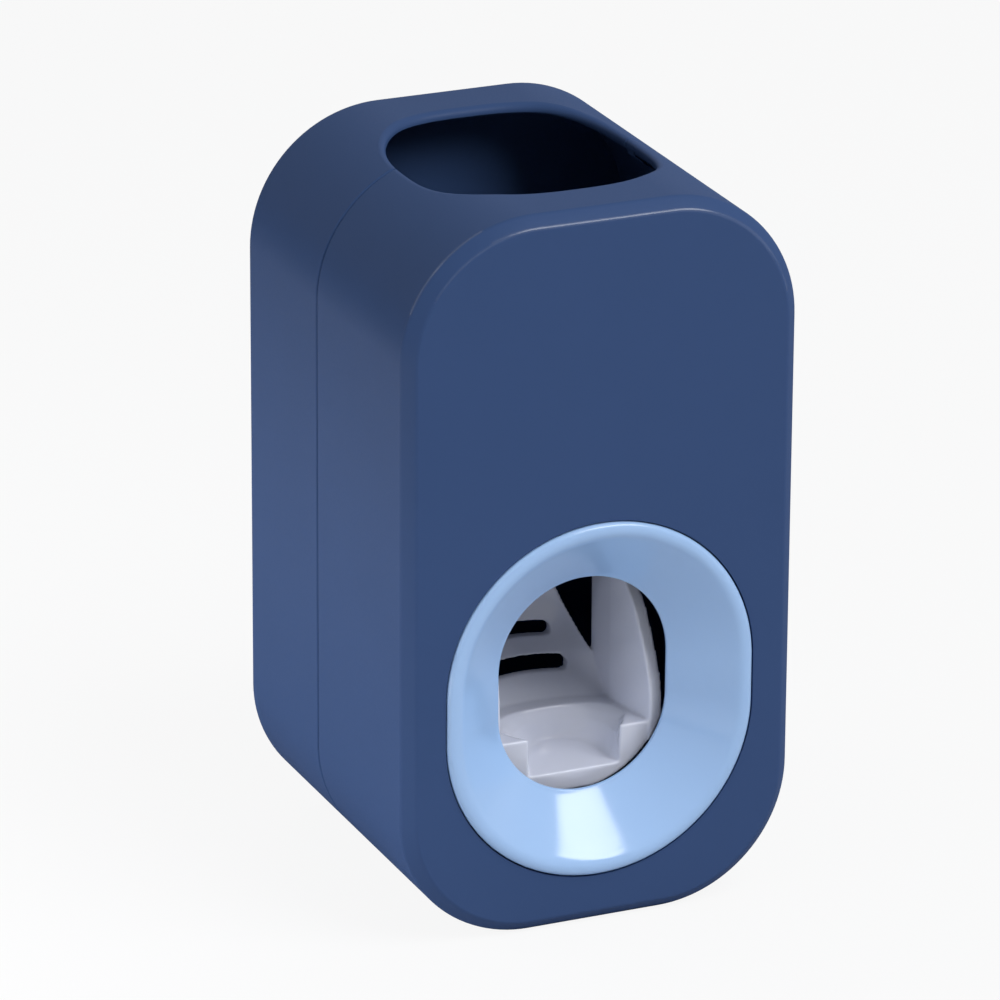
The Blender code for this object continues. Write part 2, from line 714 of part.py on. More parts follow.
def pocket_cutter():
    """The hollow for the brush head: a notch in the lip that opens into a bowl."""
    spread_and_rise_shares = ((0, 0), (0.45, 0.6), (1, 1))
    levels = [(spread, rise, 0) for spread, rise in spread_and_rise_shares] + [(1, 1, OVERRUN)]
    shoulder = LIP_Y + POCKET_SHOULDER
    steps = 12
    loops = []
    for spread, rise, lift in levels:
        half = POCKET_FLOOR_HALF + (POCKET_HALF - POCKET_FLOOR_HALF) * spread
        length = POCKET_FLOOR_LENGTH + (POCKET_LENGTH - POCKET_FLOOR_LENGTH) * spread
        power = POCKET_FLOOR_POWER + (POCKET_RIM_POWER - POCKET_FLOOR_POWER) * spread
        side = [(NOTCH_HALF, LIP_Y - OVERRUN), (NOTCH_HALF, LIP_Y + 2 * GAP),
                ((NOTCH_HALF + half) / 2, LIP_Y + POCKET_SHOULDER / 2)]
        depth = length - POCKET_SHOULDER
        back = [(half * math.copysign(abs(math.cos(a)) ** (2 / power), math.cos(a)),
                 shoulder + depth * math.sin(a) ** (2 / power))
                for a in (math.pi * i / steps for i in range(steps + 1))]
        outline = side + back + [(-x, y) for x, y in reversed(side)]
        loop = []
        for x, y in outline:
            floor = NOTCH_FLOOR + POCKET_RISE * (y - LIP_Y) / POCKET_LENGTH
            loop.append((x, y, floor + (LEDGE_Z - floor) * rise + lift))
        loops.append(loop)
    return skin(loops)


def side_wall():
    """Right side of the lever: cradle wall, pivot boss and crank arm in one plate."""
    bar = tapered_bar(PIVOT_Y, PIVOT_Z, PIVOT_BOSS, PUMP_Y, CRANK_Z, CRANK_BOSS)
    neck = LIP_Y + NECK_BACK
    steps = 6
    climb = WALL_SLOPE_TOP - WALL_STRAIGHT_TOP
    slope = []
    for i in range(steps + 1):
        back = WALL_SLOPE_BACK * (i / steps) ** WALL_SLOPE_CURVE
        slope.append((LIP_Y + back, WALL_STRAIGHT_TOP + climb * i / steps))
    slope.append((LIP_Y + WALL_BROW_BACK, WALL_BROW_TOP))
    chin_shares = (0.9, 0.4)
    chin = (PIVOT_Y - PIVOT_BOSS * chin_shares[0], PIVOT_Z - PIVOT_BOSS * chin_shares[1])
    heel = (tongue_face(ARM_INNER, LEDGE_Z) + 2 * TONGUE_THICKNESS, CRADLE_BOTTOM)
    wall = slope + [chin, (PIVOT_Y, PIVOT_Z), (neck + PIVOT_BOSS, PIVOT_Z - PIVOT_BOSS),
                    (neck + GAP, PIVOT_Z - 2 * PIVOT_BOSS), (neck, WALL_SLOPE_TOP),
                    (neck, CUT_TIP), heel, (LIP_Y, CRADLE_BOTTOM)]
    plate = as_object("plate", prism(wall, "X", 0, ARM_THICKNESS))
    combine(plate, "UNION", prism(bar, "X", 0, ARM_THICKNESS))
    far = ARM_THICKNESS + OVERRUN
    bore = solid_rod((0, PIVOT_Y, PIVOT_Z), "X", PIN_RADIUS + GAP, -OVERRUN, far, SMALL_STEPS)
    combine(plate, "DIFFERENCE", crank_slot(), bore)
    bm = bmesh.new()
    bm.from_mesh(plate.data)
    bpy.data.objects.remove(plate)
    bmesh.ops.bisect_plane(bm, geom=bm.verts[:] + bm.edges[:] + bm.faces[:], dist=WELD,
                           plane_co=(0, LIP_Y + CRADLE_FLARE_BACK, 0), plane_no=(0, 1, 0))
    for vert in bm.verts:
        vert.co.x += arm_face(vert.co.y)
    return bm


def crank_slot():
    """The slot that the trunnion slides in, following the path it takes as the lever turns."""
    path = []
    steps = 4
    for i in range(steps + 1):
        turn = LEVER_SWING * i / steps
        lift = CRANK_LIFT * i / steps
        y, z = CRANK_PIN_Y, CRANK_PIN_Z + lift
        path.append((PIVOT_Y + y * math.cos(turn) + z * math.sin(turn),
                     PIVOT_Z - y * math.sin(turn) + z * math.cos(turn)))
    reach = PIN_RADIUS + GAP
    first, last = path[0], path[-1]
    heading = math.degrees(math.atan2(last[1] - first[1], last[0] - first[0]))
    normal = math.radians(heading + 90)
    up = (reach * math.cos(normal), reach * math.sin(normal))
    start = arc(*first, reach, heading + 90, heading + 270, SCREW_STEPS)
    end = arc(*last, reach, heading - 90, heading + 90, SCREW_STEPS)
    below = [(u - up[0], v - up[1]) for u, v in path[1:-1]]
    above = [(u + up[0], v + up[1]) for u, v in reversed(path[1:-1])]
    return prism(start + below + end + above, "X", -OVERRUN, ARM_THICKNESS + OVERRUN)


def tongue_slots():
    """Two level slots through the tongue."""
    slots = []
    for z in (SLOT_LOW, SLOT_HIGH):
        half = ARM_INNER + (TONGUE_TOP_HALF - ARM_INNER) * max(0, z - CUT_TIP) / (TONGUE_TOP - CUT_TIP)
        outline = lying_stadium(z, half - SLOT_EDGE, SLOT_HEIGHT / 2)
        behind = LIP_Y + TONGUE_TOP_BACK + 2 * TONGUE_THICKNESS
        slots.append(prism(outline, "Y", LIP_Y + POCKET_LENGTH, behind))
    return joined(*slots)


def push_lever(material, parent):
    """The cradle with its side walls and arms, one moulding."""
    right = side_wall()
    left = mirrored(right)
    lever = as_object("push_lever", right)
    combine(lever, "UNION", cradle_block(), left, tongue())
    combine(lever, "DIFFERENCE", pocket_cutter(), tongue_slots())
    return finish(lever, material, (0, PIVOT_Y, PIVOT_Z), parent)


def pivot_pin(material):
    """Steel pin through both cheeks and both arms."""
    end = CHEEK_OUTER + GAP + CLIP_THICKNESS + PIN_END
    rod = solid_rod((0, PIVOT_Y, PIVOT_Z), "X", PIN_RADIUS, -end, end, SMALL_STEPS)
    return finish(as_object("pivot_pin", rod), material, (0, PIVOT_Y, PIVOT_Z))


def pivot_clips(material):
    """Retaining rings on the pin, outside the cheeks."""
    inner = PIN_RADIUS + GAP
    for name, side in (("pivot_clip_left", -1), ("pivot_clip_right", 1)):
        low, high = sorted((side * (CHEEK_OUTER + GAP), side * (CHEEK_OUTER + GAP + CLIP_THICKNESS)))
        profile = [(inner, low), (CLIP_RADIUS, low), (CLIP_RADIUS, high), (inner, high)]
        ring = turned(profile, (0, PIVOT_Y, PIVOT_Z), "X", SMALL_STEPS)
        finish(as_object(name, ring), material, (side * CHEEK_OUTER, PIVOT_Y, PIVOT_Z))


# Pump

def pump_cylinder(material):
    """Barrel that hangs through the frame by its flange."""
    profile = [(BARREL_BORE, BARREL_BOTTOM), (BARREL_RADIUS, BARREL_BOTTOM), (BARREL_RADIUS, FLANGE_Z),
               (FLANGE_RADIUS, FLANGE_Z), (FLANGE_RADIUS, BARREL_TOP), (BARREL_BORE, BARREL_TOP)]
    return finish(as_object("pump_cylinder", turned(profile, (0, PUMP_Y, 0), "Z", ROUND_STEPS)),
                  material, (0, PUMP_Y, FLANGE_Z))


def cylinder_gasket(material):
    """Flat ring seal between the barrel's flange and the manifold."""
    inner, outer = BARREL_BORE + GASKET_INSET, FLANGE_RADIUS - GASKET_INSET
    top = GASKET_Z + GASKET_THICKNESS
    profile = [(inner, GASKET_Z), (outer, GASKET_Z), (outer, top), (inner, top)]
    return finish(as_object("cylinder_gasket", turned(profile, (0, PUMP_Y, 0), "Z", ROUND_STEPS)),
                  material, (0, PUMP_Y, GASKET_Z))


def piston(material, parent):
    """Piston with a groove for its seal, on a stem that stands in the crosshead's socket."""
    radius = BARREL_BORE - GAP
    bottom = PISTON_TOP - PISTON_HEIGHT
    groove_low = bottom + (PISTON_HEIGHT - PISTON_GROOVE - 2 * GAP) / 2
    groove_high = groove_low + PISTON_GROOVE + 2 * GAP
    core = radius - PISTON_GROOVE_DEPTH
    foot = CUP_BOTTOM + CUP_FLOOR + GAP
    profile = [(0, foot), (STEM_RADIUS, foot), (STEM_RADIUS, bottom), (radius, bottom),
               (radius, groove_low), (core, groove_low), (core, groove_high), (radius, groove_high),
               (radius, PISTON_TOP), (0, PISTON_TOP)]
    return finish(as_object("piston", turned(profile, (0, PUMP_Y, 0), "Z", ROUND_STEPS)),
                  material, (0, PUMP_Y, CRANK_Z), parent)


def piston_seal(material, parent):
    """Silicone ring in the piston's groove."""
    outer = BARREL_BORE - GAP
    inner = outer - PISTON_GROOVE_DEPTH + GAP
    middle = PISTON_TOP - PISTON_HEIGHT / 2
    low, high = middle - PISTON_GROOVE / 2, middle + PISTON_GROOVE / 2
    profile = [(inner, low), (outer, low), (outer, high), (inner, high)]
    return finish(as_object("piston_seal", turned(profile, (0, PUMP_Y, 0), "Z", ROUND_STEPS)),
                  material, (0, PUMP_Y, CRANK_Z), parent)


def crosshead(material, parent):
    """Cup that rises round the barrel, with the stem's socket inside and a trunnion on each side."""
    floor = CUP_BOTTOM + CUP_FLOOR
    socket_inner = STEM_RADIUS + GAP
    socket_outer = socket_inner + STEM_SOCKET_WALL
    socket_top = floor + STEM_SOCKET
    profile = [(0, CUP_BOTTOM), (CUP_OUTER, CUP_BOTTOM), (CUP_OUTER, CUP_TOP), (CUP_INNER, CUP_TOP),
               (CUP_INNER, floor), (socket_outer, floor), (socket_outer, socket_top),
               (socket_inner, socket_top), (socket_inner, floor), (0, floor)]
    cup = as_object("crosshead", turned(profile, (0, PUMP_Y, 0), "Z", ROUND_STEPS))
    wall_middle = (CUP_INNER + CUP_OUTER) / 2
    land = ARM_INNER - TRUNNION_LAND
    tip = ARM_OUTER + GAP
    for side in (-1, 1):
        ends = sorted((side * wall_middle, side * tip))
        lands = sorted((side * wall_middle, side * land))
        combine(cup, "UNION", solid_rod((0, PUMP_Y, CRANK_Z), "X", PIN_RADIUS, *ends, SMALL_STEPS),
                solid_rod((0, PUMP_Y, CRANK_Z), "X", PIN_RADIUS + TRUNNION_LAND, *lands, SMALL_STEPS))
    return finish(cup, material, (0, PUMP_Y, CRANK_Z), parent)


def return_spring(material):
    """Compression spring of round wire between the crosshead's rim and the frame, one unbroken tube."""
    sides = 6
    around = 14
    low = CUP_TOP + GAP + WIRE_RADIUS
    high = FRAME_BOTTOM - GAP - WIRE_RADIUS
    count = round(SPRING_TURNS * around)
    pitch = (high - low) / SPRING_TURNS
    loops = []
    for i in range(count + 1):
        turn = SPRING_TURNS * math.tau * i / count
        out = Vector((math.cos(turn), math.sin(turn), 0))
        along = Vector((-math.sin(turn) * SPRING_RADIUS, math.cos(turn) * SPRING_RADIUS, pitch / math.tau))
        up = out.cross(along).normalized()
        centre = Vector((0, PUMP_Y, low + (high - low) * i / count)) + out * SPRING_RADIUS
        loops.append([centre + WIRE_RADIUS * (math.cos(a) * out + math.sin(a) * up)
                      for a in (math.tau * k / sides for k in range(sides))])
    print("least gap between the spring's coils, mm:", round((pitch - 2 * WIRE_RADIUS) / MM, 2))
    return finish(as_object("return_spring", skin(loops)), material, (0, PUMP_Y, high))


# Frame and its fasteners

def cheek():
    """Right cheek: carries the pivot in front and the ear plate behind."""
    back = EAR_Y + EAR_THICKNESS
    front = [(PIVOT_Y - CHEEK_BOSS, FRAME_TOP), (PIVOT_Y - CHEEK_BOSS, PIVOT_Z)]
    boss = arc(PIVOT_Y, PIVOT_Z, CHEEK_BOSS, 180, 315, SCREW_STEPS)[1:]
    web = [(EAR_Y - CHEEK_WEB, FIXING_LOW + EAR_MARGIN), (EAR_Y, FIXING_LOW - EAR_MARGIN),
           (back, FIXING_LOW - EAR_MARGIN), (back, FRAME_TOP)]
    return prism(front + boss + web, "X", CHEEK_INNER, CHEEK_OUTER)


def ear():
    """Right ear plate, which the fixing screws hold to the rear shell's bosses."""
    outline = rounded_rectangle((CHEEK_INNER + CHEEK_OUTER) / 2, EAR_OUTER, FIXING_LOW - EAR_MARGIN,
                                FIXING_HIGH + EAR_MARGIN, EAR_MARGIN / 3, 3)
    return prism(outline, "Y", EAR_Y, EAR_Y + EAR_THICKNESS)


def lug_places():
    """Where the clamp screws stand, seen from above."""
    return [(x, y) for x in (-LUG_X, LUG_X) for y in (FACE_Y + LUG_FRONT_DEPTH, PUMP_Y)]


def pump_frame(material):
    """Bracket: top plate with the barrel's hole, two cheeks, two ears and four posts."""
    half = CHEEK_OUTER
    front = NOZZLE_Y - MANIFOLD_NOSE
    back = EAR_Y + EAR_THICKNESS
    rim = PUMP_Y + BARREL_RADIUS + GAP + FRAME_TOP_THICKNESS
    plate = rounded_rectangle(-half, half, front, rim, WALL, 3)
    frame = as_object("pump_frame", prism(plate, "Z", FRAME_BOTTOM, FRAME_TOP))
    for make in (cheek, ear):
        right = make()
        combine(frame, "UNION", mirrored(right), right)
    root = FRAME_TOP - FRAME_TOP_THICKNESS / 2
    posts = [solid_rod((x, y, 0), "Z", POST_RADIUS, root, MANIFOLD_Z - GAP, SMALL_STEPS)
             for x, y in lug_places()]
    combine(frame, "UNION", joined(*posts))
    deep = FRAME_BOTTOM - OVERRUN
    high = MANIFOLD_Z
    holes = [solid_rod((0, PUMP_Y, 0), "Z", BARREL_RADIUS + GAP, deep, high, ROUND_STEPS),
             solid_rod((0, NOZZLE_Y, 0), "Z", SPOUT_RADIUS + GAP, deep, high, SMALL_STEPS)]
    holes += [solid_rod((x, y, 0), "Z", POST_HOLE, deep, high, SCREW_STEPS) for x, y in lug_places()]
    fixings = [solid_rod((x, 0, z), "Y", FIXING_HOLE, EAR_Y - OVERRUN, back + OVERRUN, SMALL_STEPS)
               for x, z in fixing_places()]
    wide = half + OVERRUN
    bore = solid_rod((0, PIVOT_Y, PIVOT_Z), "X", PIN_RADIUS + GAP, -wide, wide, SMALL_STEPS)
    combine(frame, "DIFFERENCE", joined(*holes), joined(*fixings), bore)
    return finish(frame, material, (0, EAR_Y, FRAME_BOTTOM))


def screw(centre, axis, seat, direction, shank, head, head_height, length, steps):
    """A self-tapping screw with a slotted pan head; seat is the face its head rests on."""
    side_share, crown_share = 0.55, 0.75
    rest = seat - direction * GAP
    crown = rest - direction * head_height
    side = rest - direction * head_height * side_share
    end = seat + direction * length
    tip = seat + direction * (length - 2 * shank)
    profile = [(0, end), (shank / 2, end), (shank, tip), (shank, rest), (head, rest), (head, side),
               (head * crown_share, crown), (0, crown)]
    return turned(profile, centre, axis, steps)


def driven_slot(thing, place, axis, top, outward, head):
    """Cut a driver's slot across a screw's head."""
    u, v = place
    reach, half = head + OVERRUN, SCREW_SLOT / 2
    slot = [(u - reach, v - half), (u + reach, v - half), (u + reach, v + half), (u - reach, v + half)]
    ends = sorted((top - outward * SCREW_SLOT, top + outward * OVERRUN))
    combine(thing, "DIFFERENCE", prism(slot, axis, *ends))


def frame_screws(material):
    """Four screws from the front through the ears into the rear shell's bosses."""
    for number, (x, z) in enumerate(fixing_places(), 1):
        body = screw((x, 0, z), "Y", EAR_Y, 1,
                     SCREW_SHANK, SCREW_HEAD, SCREW_HEAD_HEIGHT, SCREW_LENGTH, SCREW_STEPS)
        thing = as_object(f"frame_screw_{number}", body)
        driven_slot(thing, (x, z), "Y", EAR_Y - GAP - SCREW_HEAD_HEIGHT, -1, SCREW_HEAD)
        finish(thing, material, (x, EAR_Y, z))


def manifold_screws(material):
    """Four screws down through the manifold's lugs into the frame's posts."""
    seat = MANIFOLD_Z + LUG_HEIGHT
    for number, (x, y) in enumerate(lug_places(), 1):
        body = screw((x, y, 0), "Z", seat, -1,
                     CLAMP_SHANK, CLAMP_HEAD, CLAMP_HEAD_HEIGHT, CLAMP_LENGTH, SCREW_STEPS)
        thing = as_object(f"manifold_screw_{number}", body)
        driven_slot(thing, (x, y), "Z", seat + GAP + CLAMP_HEAD_HEIGHT, 1, CLAMP_HEAD)
        finish(thing, material, (x, y, seat))


# Manifold, inlet and outlet

def collar_radius():
    """Outer radius of the collar round the inlet seat."""
    return SEAT_FLANGE + GAP + COLLAR_WALL


def pump_manifold(material):
    """Block with the paste duct, a disc under the inlet, four lugs and the spout."""
    front = NOZZLE_Y - MANIFOLD_NOSE
    back = PUMP_Y + FLANGE_RADIUS
    outline = rounded_rectangle(-MANIFOLD_HALF, MANIFOLD_HALF, front, back, MANIFOLD_NOSE, 6)
    block = as_object("pump_manifold", prism(outline, "Z", MANIFOLD_Z, MANIFOLD_TOP))
    disc = solid_rod((0, SEAT_Y, 0), "Z", collar_radius() + GAP, MANIFOLD_TOP - LUG_HEIGHT,
                     MANIFOLD_TOP - GAP, ROUND_STEPS)
    lugs = []
    for x, y in lug_places():
        reach = sorted((math.copysign(MANIFOLD_HALF - OVERRUN, x), x))
        arm = [(reach[0], y - POST_RADIUS), (reach[1], y - POST_RADIUS),
               (reach[1], y + POST_RADIUS), (reach[0], y + POST_RADIUS)]
        lugs.append(prism(arm, "Z", MANIFOLD_Z + GAP, MANIFOLD_Z + LUG_HEIGHT - GAP))
        lugs.append(solid_rod((x, y, 0), "Z", LUG_RADIUS, MANIFOLD_Z, MANIFOLD_Z + LUG_HEIGHT, SMALL_STEPS))
    spout = solid_rod((0, NOZZLE_Y, 0), "Z", SPOUT_RADIUS, MANIFOLD_Z - SPOUT_LENGTH,
                      MANIFOLD_Z + OVERRUN, SMALL_STEPS)
    combine(block, "UNION", disc, *lugs, spout)
    duct = solid_rod((0, 0, DUCT_Z), "Y", DUCT_RADIUS, front - OVERRUN, PUMP_Y + DUCT_RADIUS, SMALL_STEPS)
    riser = solid_rod((0, PUMP_Y, 0), "Z", DUCT_RADIUS - GAP, MANIFOLD_Z - OVERRUN, DUCT_Z, SMALL_STEPS)
    drop = solid_rod((0, SEAT_Y, 0), "Z", DUCT_RADIUS - GAP, DUCT_Z, MANIFOLD_TOP + OVERRUN, SMALL_STEPS)
    chamber = solid_rod((0, SEAT_Y, 0), "Z", FLAP_RADIUS + GAP, MANIFOLD_TOP - FLAP_CHAMBER,
                        MANIFOLD_TOP + OVERRUN, 2 * SCREW_STEPS)
    below = MANIFOLD_Z - SPOUT_LENGTH - OVERRUN
    outlet = solid_rod((0, NOZZLE_Y, 0), "Z", SPOUT_BORE, below, DUCT_Z, SMALL_STEPS)
    low, high = MANIFOLD_Z - OVERRUN, MANIFOLD_Z + LUG_HEIGHT + OVERRUN
    screw_holes = [solid_rod((x, y, 0), "Z", POST_HOLE, low, high, SCREW_STEPS) for x, y in lug_places()]
    combine(block, "DIFFERENCE", duct, riser, drop, chamber, outlet, joined(*screw_holes))
    return finish(block, material, (0, PUMP_Y, MANIFOLD_Z))


def duct_plug(material):
    """Plug with a flat head in the front end of the duct."""
    face = NOZZLE_Y - MANIFOLD_NOSE
    head = face - GAP - PLUG_HEAD_HEIGHT
    radius = DUCT_RADIUS - GAP
    profile = [(0, head), (PLUG_HEAD, head), (PLUG_HEAD, face - GAP), (radius, face - GAP),
               (radius, face + PLUG_LENGTH), (0, face + PLUG_LENGTH)]
    return finish(as_object("duct_plug", turned(profile, (0, 0, DUCT_Z), "Y", SMALL_STEPS)),
                  material, (0, face, DUCT_Z))


def inlet_seat(material):
    """Silicone funnel for the tube's neck, with a flange at its foot."""
    foot = MANIFOLD_TOP + GAP
    flange_top = foot + SEAT_FLANGE_THICKNESS
    top = foot + SEAT_HEIGHT
    profile = [(SEAT_BORE, foot), (SEAT_FLANGE, foot), (SEAT_FLANGE, flange_top),
               (SEAT_BORE + SEAT_WALL + GAP, flange_top), (SEAT_MOUTH + SEAT_WALL, top), (SEAT_MOUTH, top),
               (SEAT_BORE, flange_top + SEAT_FLANGE_THICKNESS)]
    return finish(as_object("inlet_seat", turned(profile, (0, SEAT_Y, 0), "Z", ROUND_STEPS)),
                  material, (0, SEAT_Y, MANIFOLD_TOP))


def inlet_collar(material):
    """Ring that holds the seat's flange down on the manifold."""
    foot = MANIFOLD_TOP + GAP
    under = foot + SEAT_FLANGE_THICKNESS + GAP
    top = under + COLLAR_LIP
    skirt = SEAT_FLANGE + GAP
    climb = (top - foot) / SEAT_HEIGHT
    lip = SEAT_BORE + SEAT_WALL + (SEAT_MOUTH - SEAT_BORE) * climb + 2 * GAP
    outer = collar_radius()
    profile = [(skirt, foot), (outer, foot), (outer, top - COLLAR_LIP / 3), (outer - COLLAR_LIP / 3, top),
               (lip, top), (lip, under), (skirt, under)]
    return finish(as_object("inlet_collar", turned(profile, (0, SEAT_Y, 0), "Z", ROUND_STEPS)),
                  material, (0, SEAT_Y, MANIFOLD_TOP))


def inlet_flap(material):
    """Silicone disc that lifts off the drop hole's edge and closes on it when the pump pushes."""
    low = MANIFOLD_TOP - FLAP_CHAMBER + GAP
    rod = solid_rod((0, SEAT_Y, 0), "Z", FLAP_RADIUS, low, low + FLAP_THICKNESS, 2 * SCREW_STEPS)
    return finish(as_object("inlet_flap", rod), material, (0, SEAT_Y, low))


def outlet_valve(material):
    """Silicone duckbill below the spout: a flanged tube that closes to a flat lip."""
    top = MANIFOLD_Z - SPOUT_LENGTH - GAP
    flange = top - VALVE_FLANGE
    tube = flange - VALVE_TUBE
    tip = tube - VALVE_BILL
    outer = SPOUT_BORE + VALVE_WALL
    stations = [(SPOUT_RADIUS, SPOUT_RADIUS, top), (SPOUT_RADIUS, SPOUT_RADIUS, flange),
                (outer, outer, flange), (outer, outer, tube), (outer, VALVE_EDGE / 2, tip)]
    hollow = [(SPOUT_BORE, VALVE_EDGE / 4, tip), (SPOUT_BORE, SPOUT_BORE, tube),
              (SPOUT_BORE, SPOUT_BORE, top)]
    loops = []
    for half_x, half_y, z in stations + hollow:
        loops.append([(x, y, z) for x, y in superellipse(0, NOZZLE_Y, half_x, half_y, 2, SMALL_STEPS)])
    return finish(as_object("outlet_valve", skin(loops, closed=True)), material, (0, NOZZLE_Y, top))


def nozzle_collar(material):
    """Cap round the spout that holds the duckbill's flange."""
    inner = SPOUT_RADIUS + GAP
    outer = inner + NOZZLE_WALL
    top = FRAME_BOTTOM - GAP
    under = MANIFOLD_Z - SPOUT_LENGTH - GAP - VALVE_FLANGE - GAP
    bottom = under - NOZZLE_FLOOR
    hole = SPOUT_BORE + VALVE_WALL + GAP
    profile = [(hole, bottom), (outer - GAP, bottom), (outer, bottom + GAP), (outer, top), (inner, top),
               (inner, under), (hole, under)]
    return finish(as_object("nozzle_collar", turned(profile, (0, NOZZLE_Y, 0), "Z", 2 * SCREW_STEPS)),
                  material, (0, NOZZLE_Y, top))


# Wall plate

def wall_plate(material, parent):
    """Plate with two headed studs that hang in the rear shell's keyholes."""
    half = PLATE_WIDTH / 2
    near = BACK_Y + GAP
    outline = rounded_rectangle(-half, half, PLATE_BOTTOM, PLATE_BOTTOM + PLATE_HEIGHT, PLATE_CORNER, 6)
    plate = as_object("wall_plate", prism(outline, "Y", near, near + PLATE_THICKNESS))
    head_back = BACK_Y - WALL - GAP
    head_front = head_back - STUD_HEAD_HEIGHT
    root = near + PLATE_THICKNESS / 2
    for side in (-1, 1):
        profile = [(0, head_front), (STUD_HEAD - 2 * GAP, head_front),
                   (STUD_HEAD, head_back - STUD_HEAD_HEIGHT / 2), (STUD_HEAD, head_back),
                   (STUD_NECK, head_back), (STUD_NECK, root), (0, root)]
        combine(plate, "UNION", turned(profile, (side * STUD_X, 0, STUD_Z), "Y", 2 * SCREW_STEPS))
    return finish(plate, material, (0, near, STUD_Z), parent)


def adhesive_pad(material, parent):
    """Foam tape on the back of the plate."""
    half = PLATE_WIDTH / 2 - PAD_MARGIN
    near = BACK_Y + GAP + PLATE_THICKNESS + GAP
    outline = rounded_rectangle(-half, half, PLATE_BOTTOM + PAD_MARGIN,
                                PLATE_BOTTOM + PLATE_HEIGHT - PAD_MARGIN, PLATE_CORNER - PAD_MARGIN, 6)
    pad = as_object("adhesive_pad", prism(outline, "Y", near, near + PAD_THICKNESS))
    return finish(pad, material, (0, near, STUD_Z), parent)


def main():
    """Clear the scene and build every piece."""
    for thing in list(bpy.data.objects):
        bpy.data.objects.remove(thing)

    housing = plastic("matt navy ABS", (0.045, 0.085, 0.19), 0.55)
    ring_blue = plastic("gloss light blue ABS", (0.33, 0.51, 0.80), 0.18)
    cradle_grey = plastic("gloss light grey ABS", (0.62, 0.62, 0.66), 0.22)
    frame_white = plastic("white ABS", (0.75, 0.76, 0.77), 0.4)
    barrel_clear = plastic("frosted polypropylene", (0.70, 0.74, 0.78), 0.3)
    silicone = plastic("translucent silicone", (0.72, 0.74, 0.74), 0.45)
    steel = plastic("stainless steel", (0.60, 0.60, 0.61), 0.25, 1.0)
    foam = plastic("white foam tape", (0.78, 0.78, 0.76), 0.85)

    cover = guide("front_cover_runner", (0, SEAM_Y, BODY_HEIGHT / 2))
    lever = guide("lever_axis", (0, PIVOT_Y, PIVOT_Z))
    plunger = guide("piston_axis", (0, PUMP_Y, CRANK_Z))
    hanger = guide("wall_plate_runner", (0, BACK_Y, STUD_Z))

    front_shell(housing, cover)
    bezel_ring(ring_blue, cover)
    rear_shell(housing)
    push_lever(cradle_grey, lever)
    pivot_pin(steel)
    pivot_clips(steel)
    pump_frame(frame_white)
    frame_screws(steel)
    pump_cylinder(barrel_clear)
    cylinder_gasket(silicone)
    pump_manifold(frame_white)
    manifold_screws(steel)
    duct_plug(frame_white)
    inlet_seat(silicone)
    inlet_collar(frame_white)
    inlet_flap(silicone)
    outlet_valve(silicone)
    nozzle_collar(frame_white)
    piston(frame_white, plunger)
    piston_seal(silicone, plunger)
    crosshead(cradle_grey, plunger)
    return_spring(steel)
    wall_plate(frame_white, hanger)
    adhesive_pad(foam, hanger)


main()
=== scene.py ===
import math

import bmesh
import bpy
from mathutils import Matrix, Vector


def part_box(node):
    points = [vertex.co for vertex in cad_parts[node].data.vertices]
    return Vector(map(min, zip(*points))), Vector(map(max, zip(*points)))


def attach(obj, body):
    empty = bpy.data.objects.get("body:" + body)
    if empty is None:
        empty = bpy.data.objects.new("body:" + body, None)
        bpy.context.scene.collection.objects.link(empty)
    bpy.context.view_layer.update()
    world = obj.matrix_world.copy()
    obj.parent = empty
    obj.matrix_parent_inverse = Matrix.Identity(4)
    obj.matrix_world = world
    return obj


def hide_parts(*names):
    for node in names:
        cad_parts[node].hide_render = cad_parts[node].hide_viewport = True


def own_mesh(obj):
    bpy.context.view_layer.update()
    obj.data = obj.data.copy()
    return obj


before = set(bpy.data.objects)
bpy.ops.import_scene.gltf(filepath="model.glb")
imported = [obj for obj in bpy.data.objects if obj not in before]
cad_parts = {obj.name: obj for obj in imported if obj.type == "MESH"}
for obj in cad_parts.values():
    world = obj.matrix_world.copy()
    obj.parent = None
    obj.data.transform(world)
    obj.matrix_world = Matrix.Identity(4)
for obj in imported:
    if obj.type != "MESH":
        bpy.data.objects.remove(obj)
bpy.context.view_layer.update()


# Studio
# A white paper floor that runs out of sight, an even pale sky, two keys high in front, low fills right and
# left, softboxes for the left side, a wash for the floor beside it, and a fill behind. The camera is a long
# lens a metre away, a little above and to the left, as in the photograph.

mm = 0.001


def linear(hex_colour):
    """An sRGB hex colour as linear red, green, blue and full cover."""
    shares = [int(hex_colour[i:i + 2], 16) / 255 for i in (1, 3, 5)]
    return [s / 12.92 if s <= 0.04045 else ((s + 0.055) / 1.055) ** 2.4 for s in shares] + [1.0]


def add(tree, kind, inputs=None, **settings):
    """Add a node: its settings, then each input's value, or the output or node that feeds it."""
    made = tree.nodes.new(kind)
    for name, value in settings.items():
        setattr(made, name, value)
    for socket, value in (inputs or {}).items():
        value = value.outputs[0] if isinstance(value, bpy.types.Node) else value
        if isinstance(value, bpy.types.NodeSocket):
            tree.links.new(value, made.inputs[socket])
        else:
            made.inputs[socket].default_value = value
    return made


def place(name, data):
    """Put a mesh, a lamp or a camera in the scene as an object."""
    made = bpy.data.objects.new(name, data)
    bpy.context.scene.collection.objects.link(made)
    return made


def new_material(name):
    """A material and its empty tree."""
    made = bpy.data.materials.new(name)
    made.use_nodes = True
    made.node_tree.nodes.clear()
    return made, made.node_tree


def towards(azimuth, elevation):
    """Unit vector to a place round the object; azimuth 0 is in front, positive to the right."""
    a, e = math.radians(azimuth), math.radians(elevation)
    return Vector((math.sin(a) * math.cos(e), -math.cos(a) * math.cos(e), math.sin(e)))


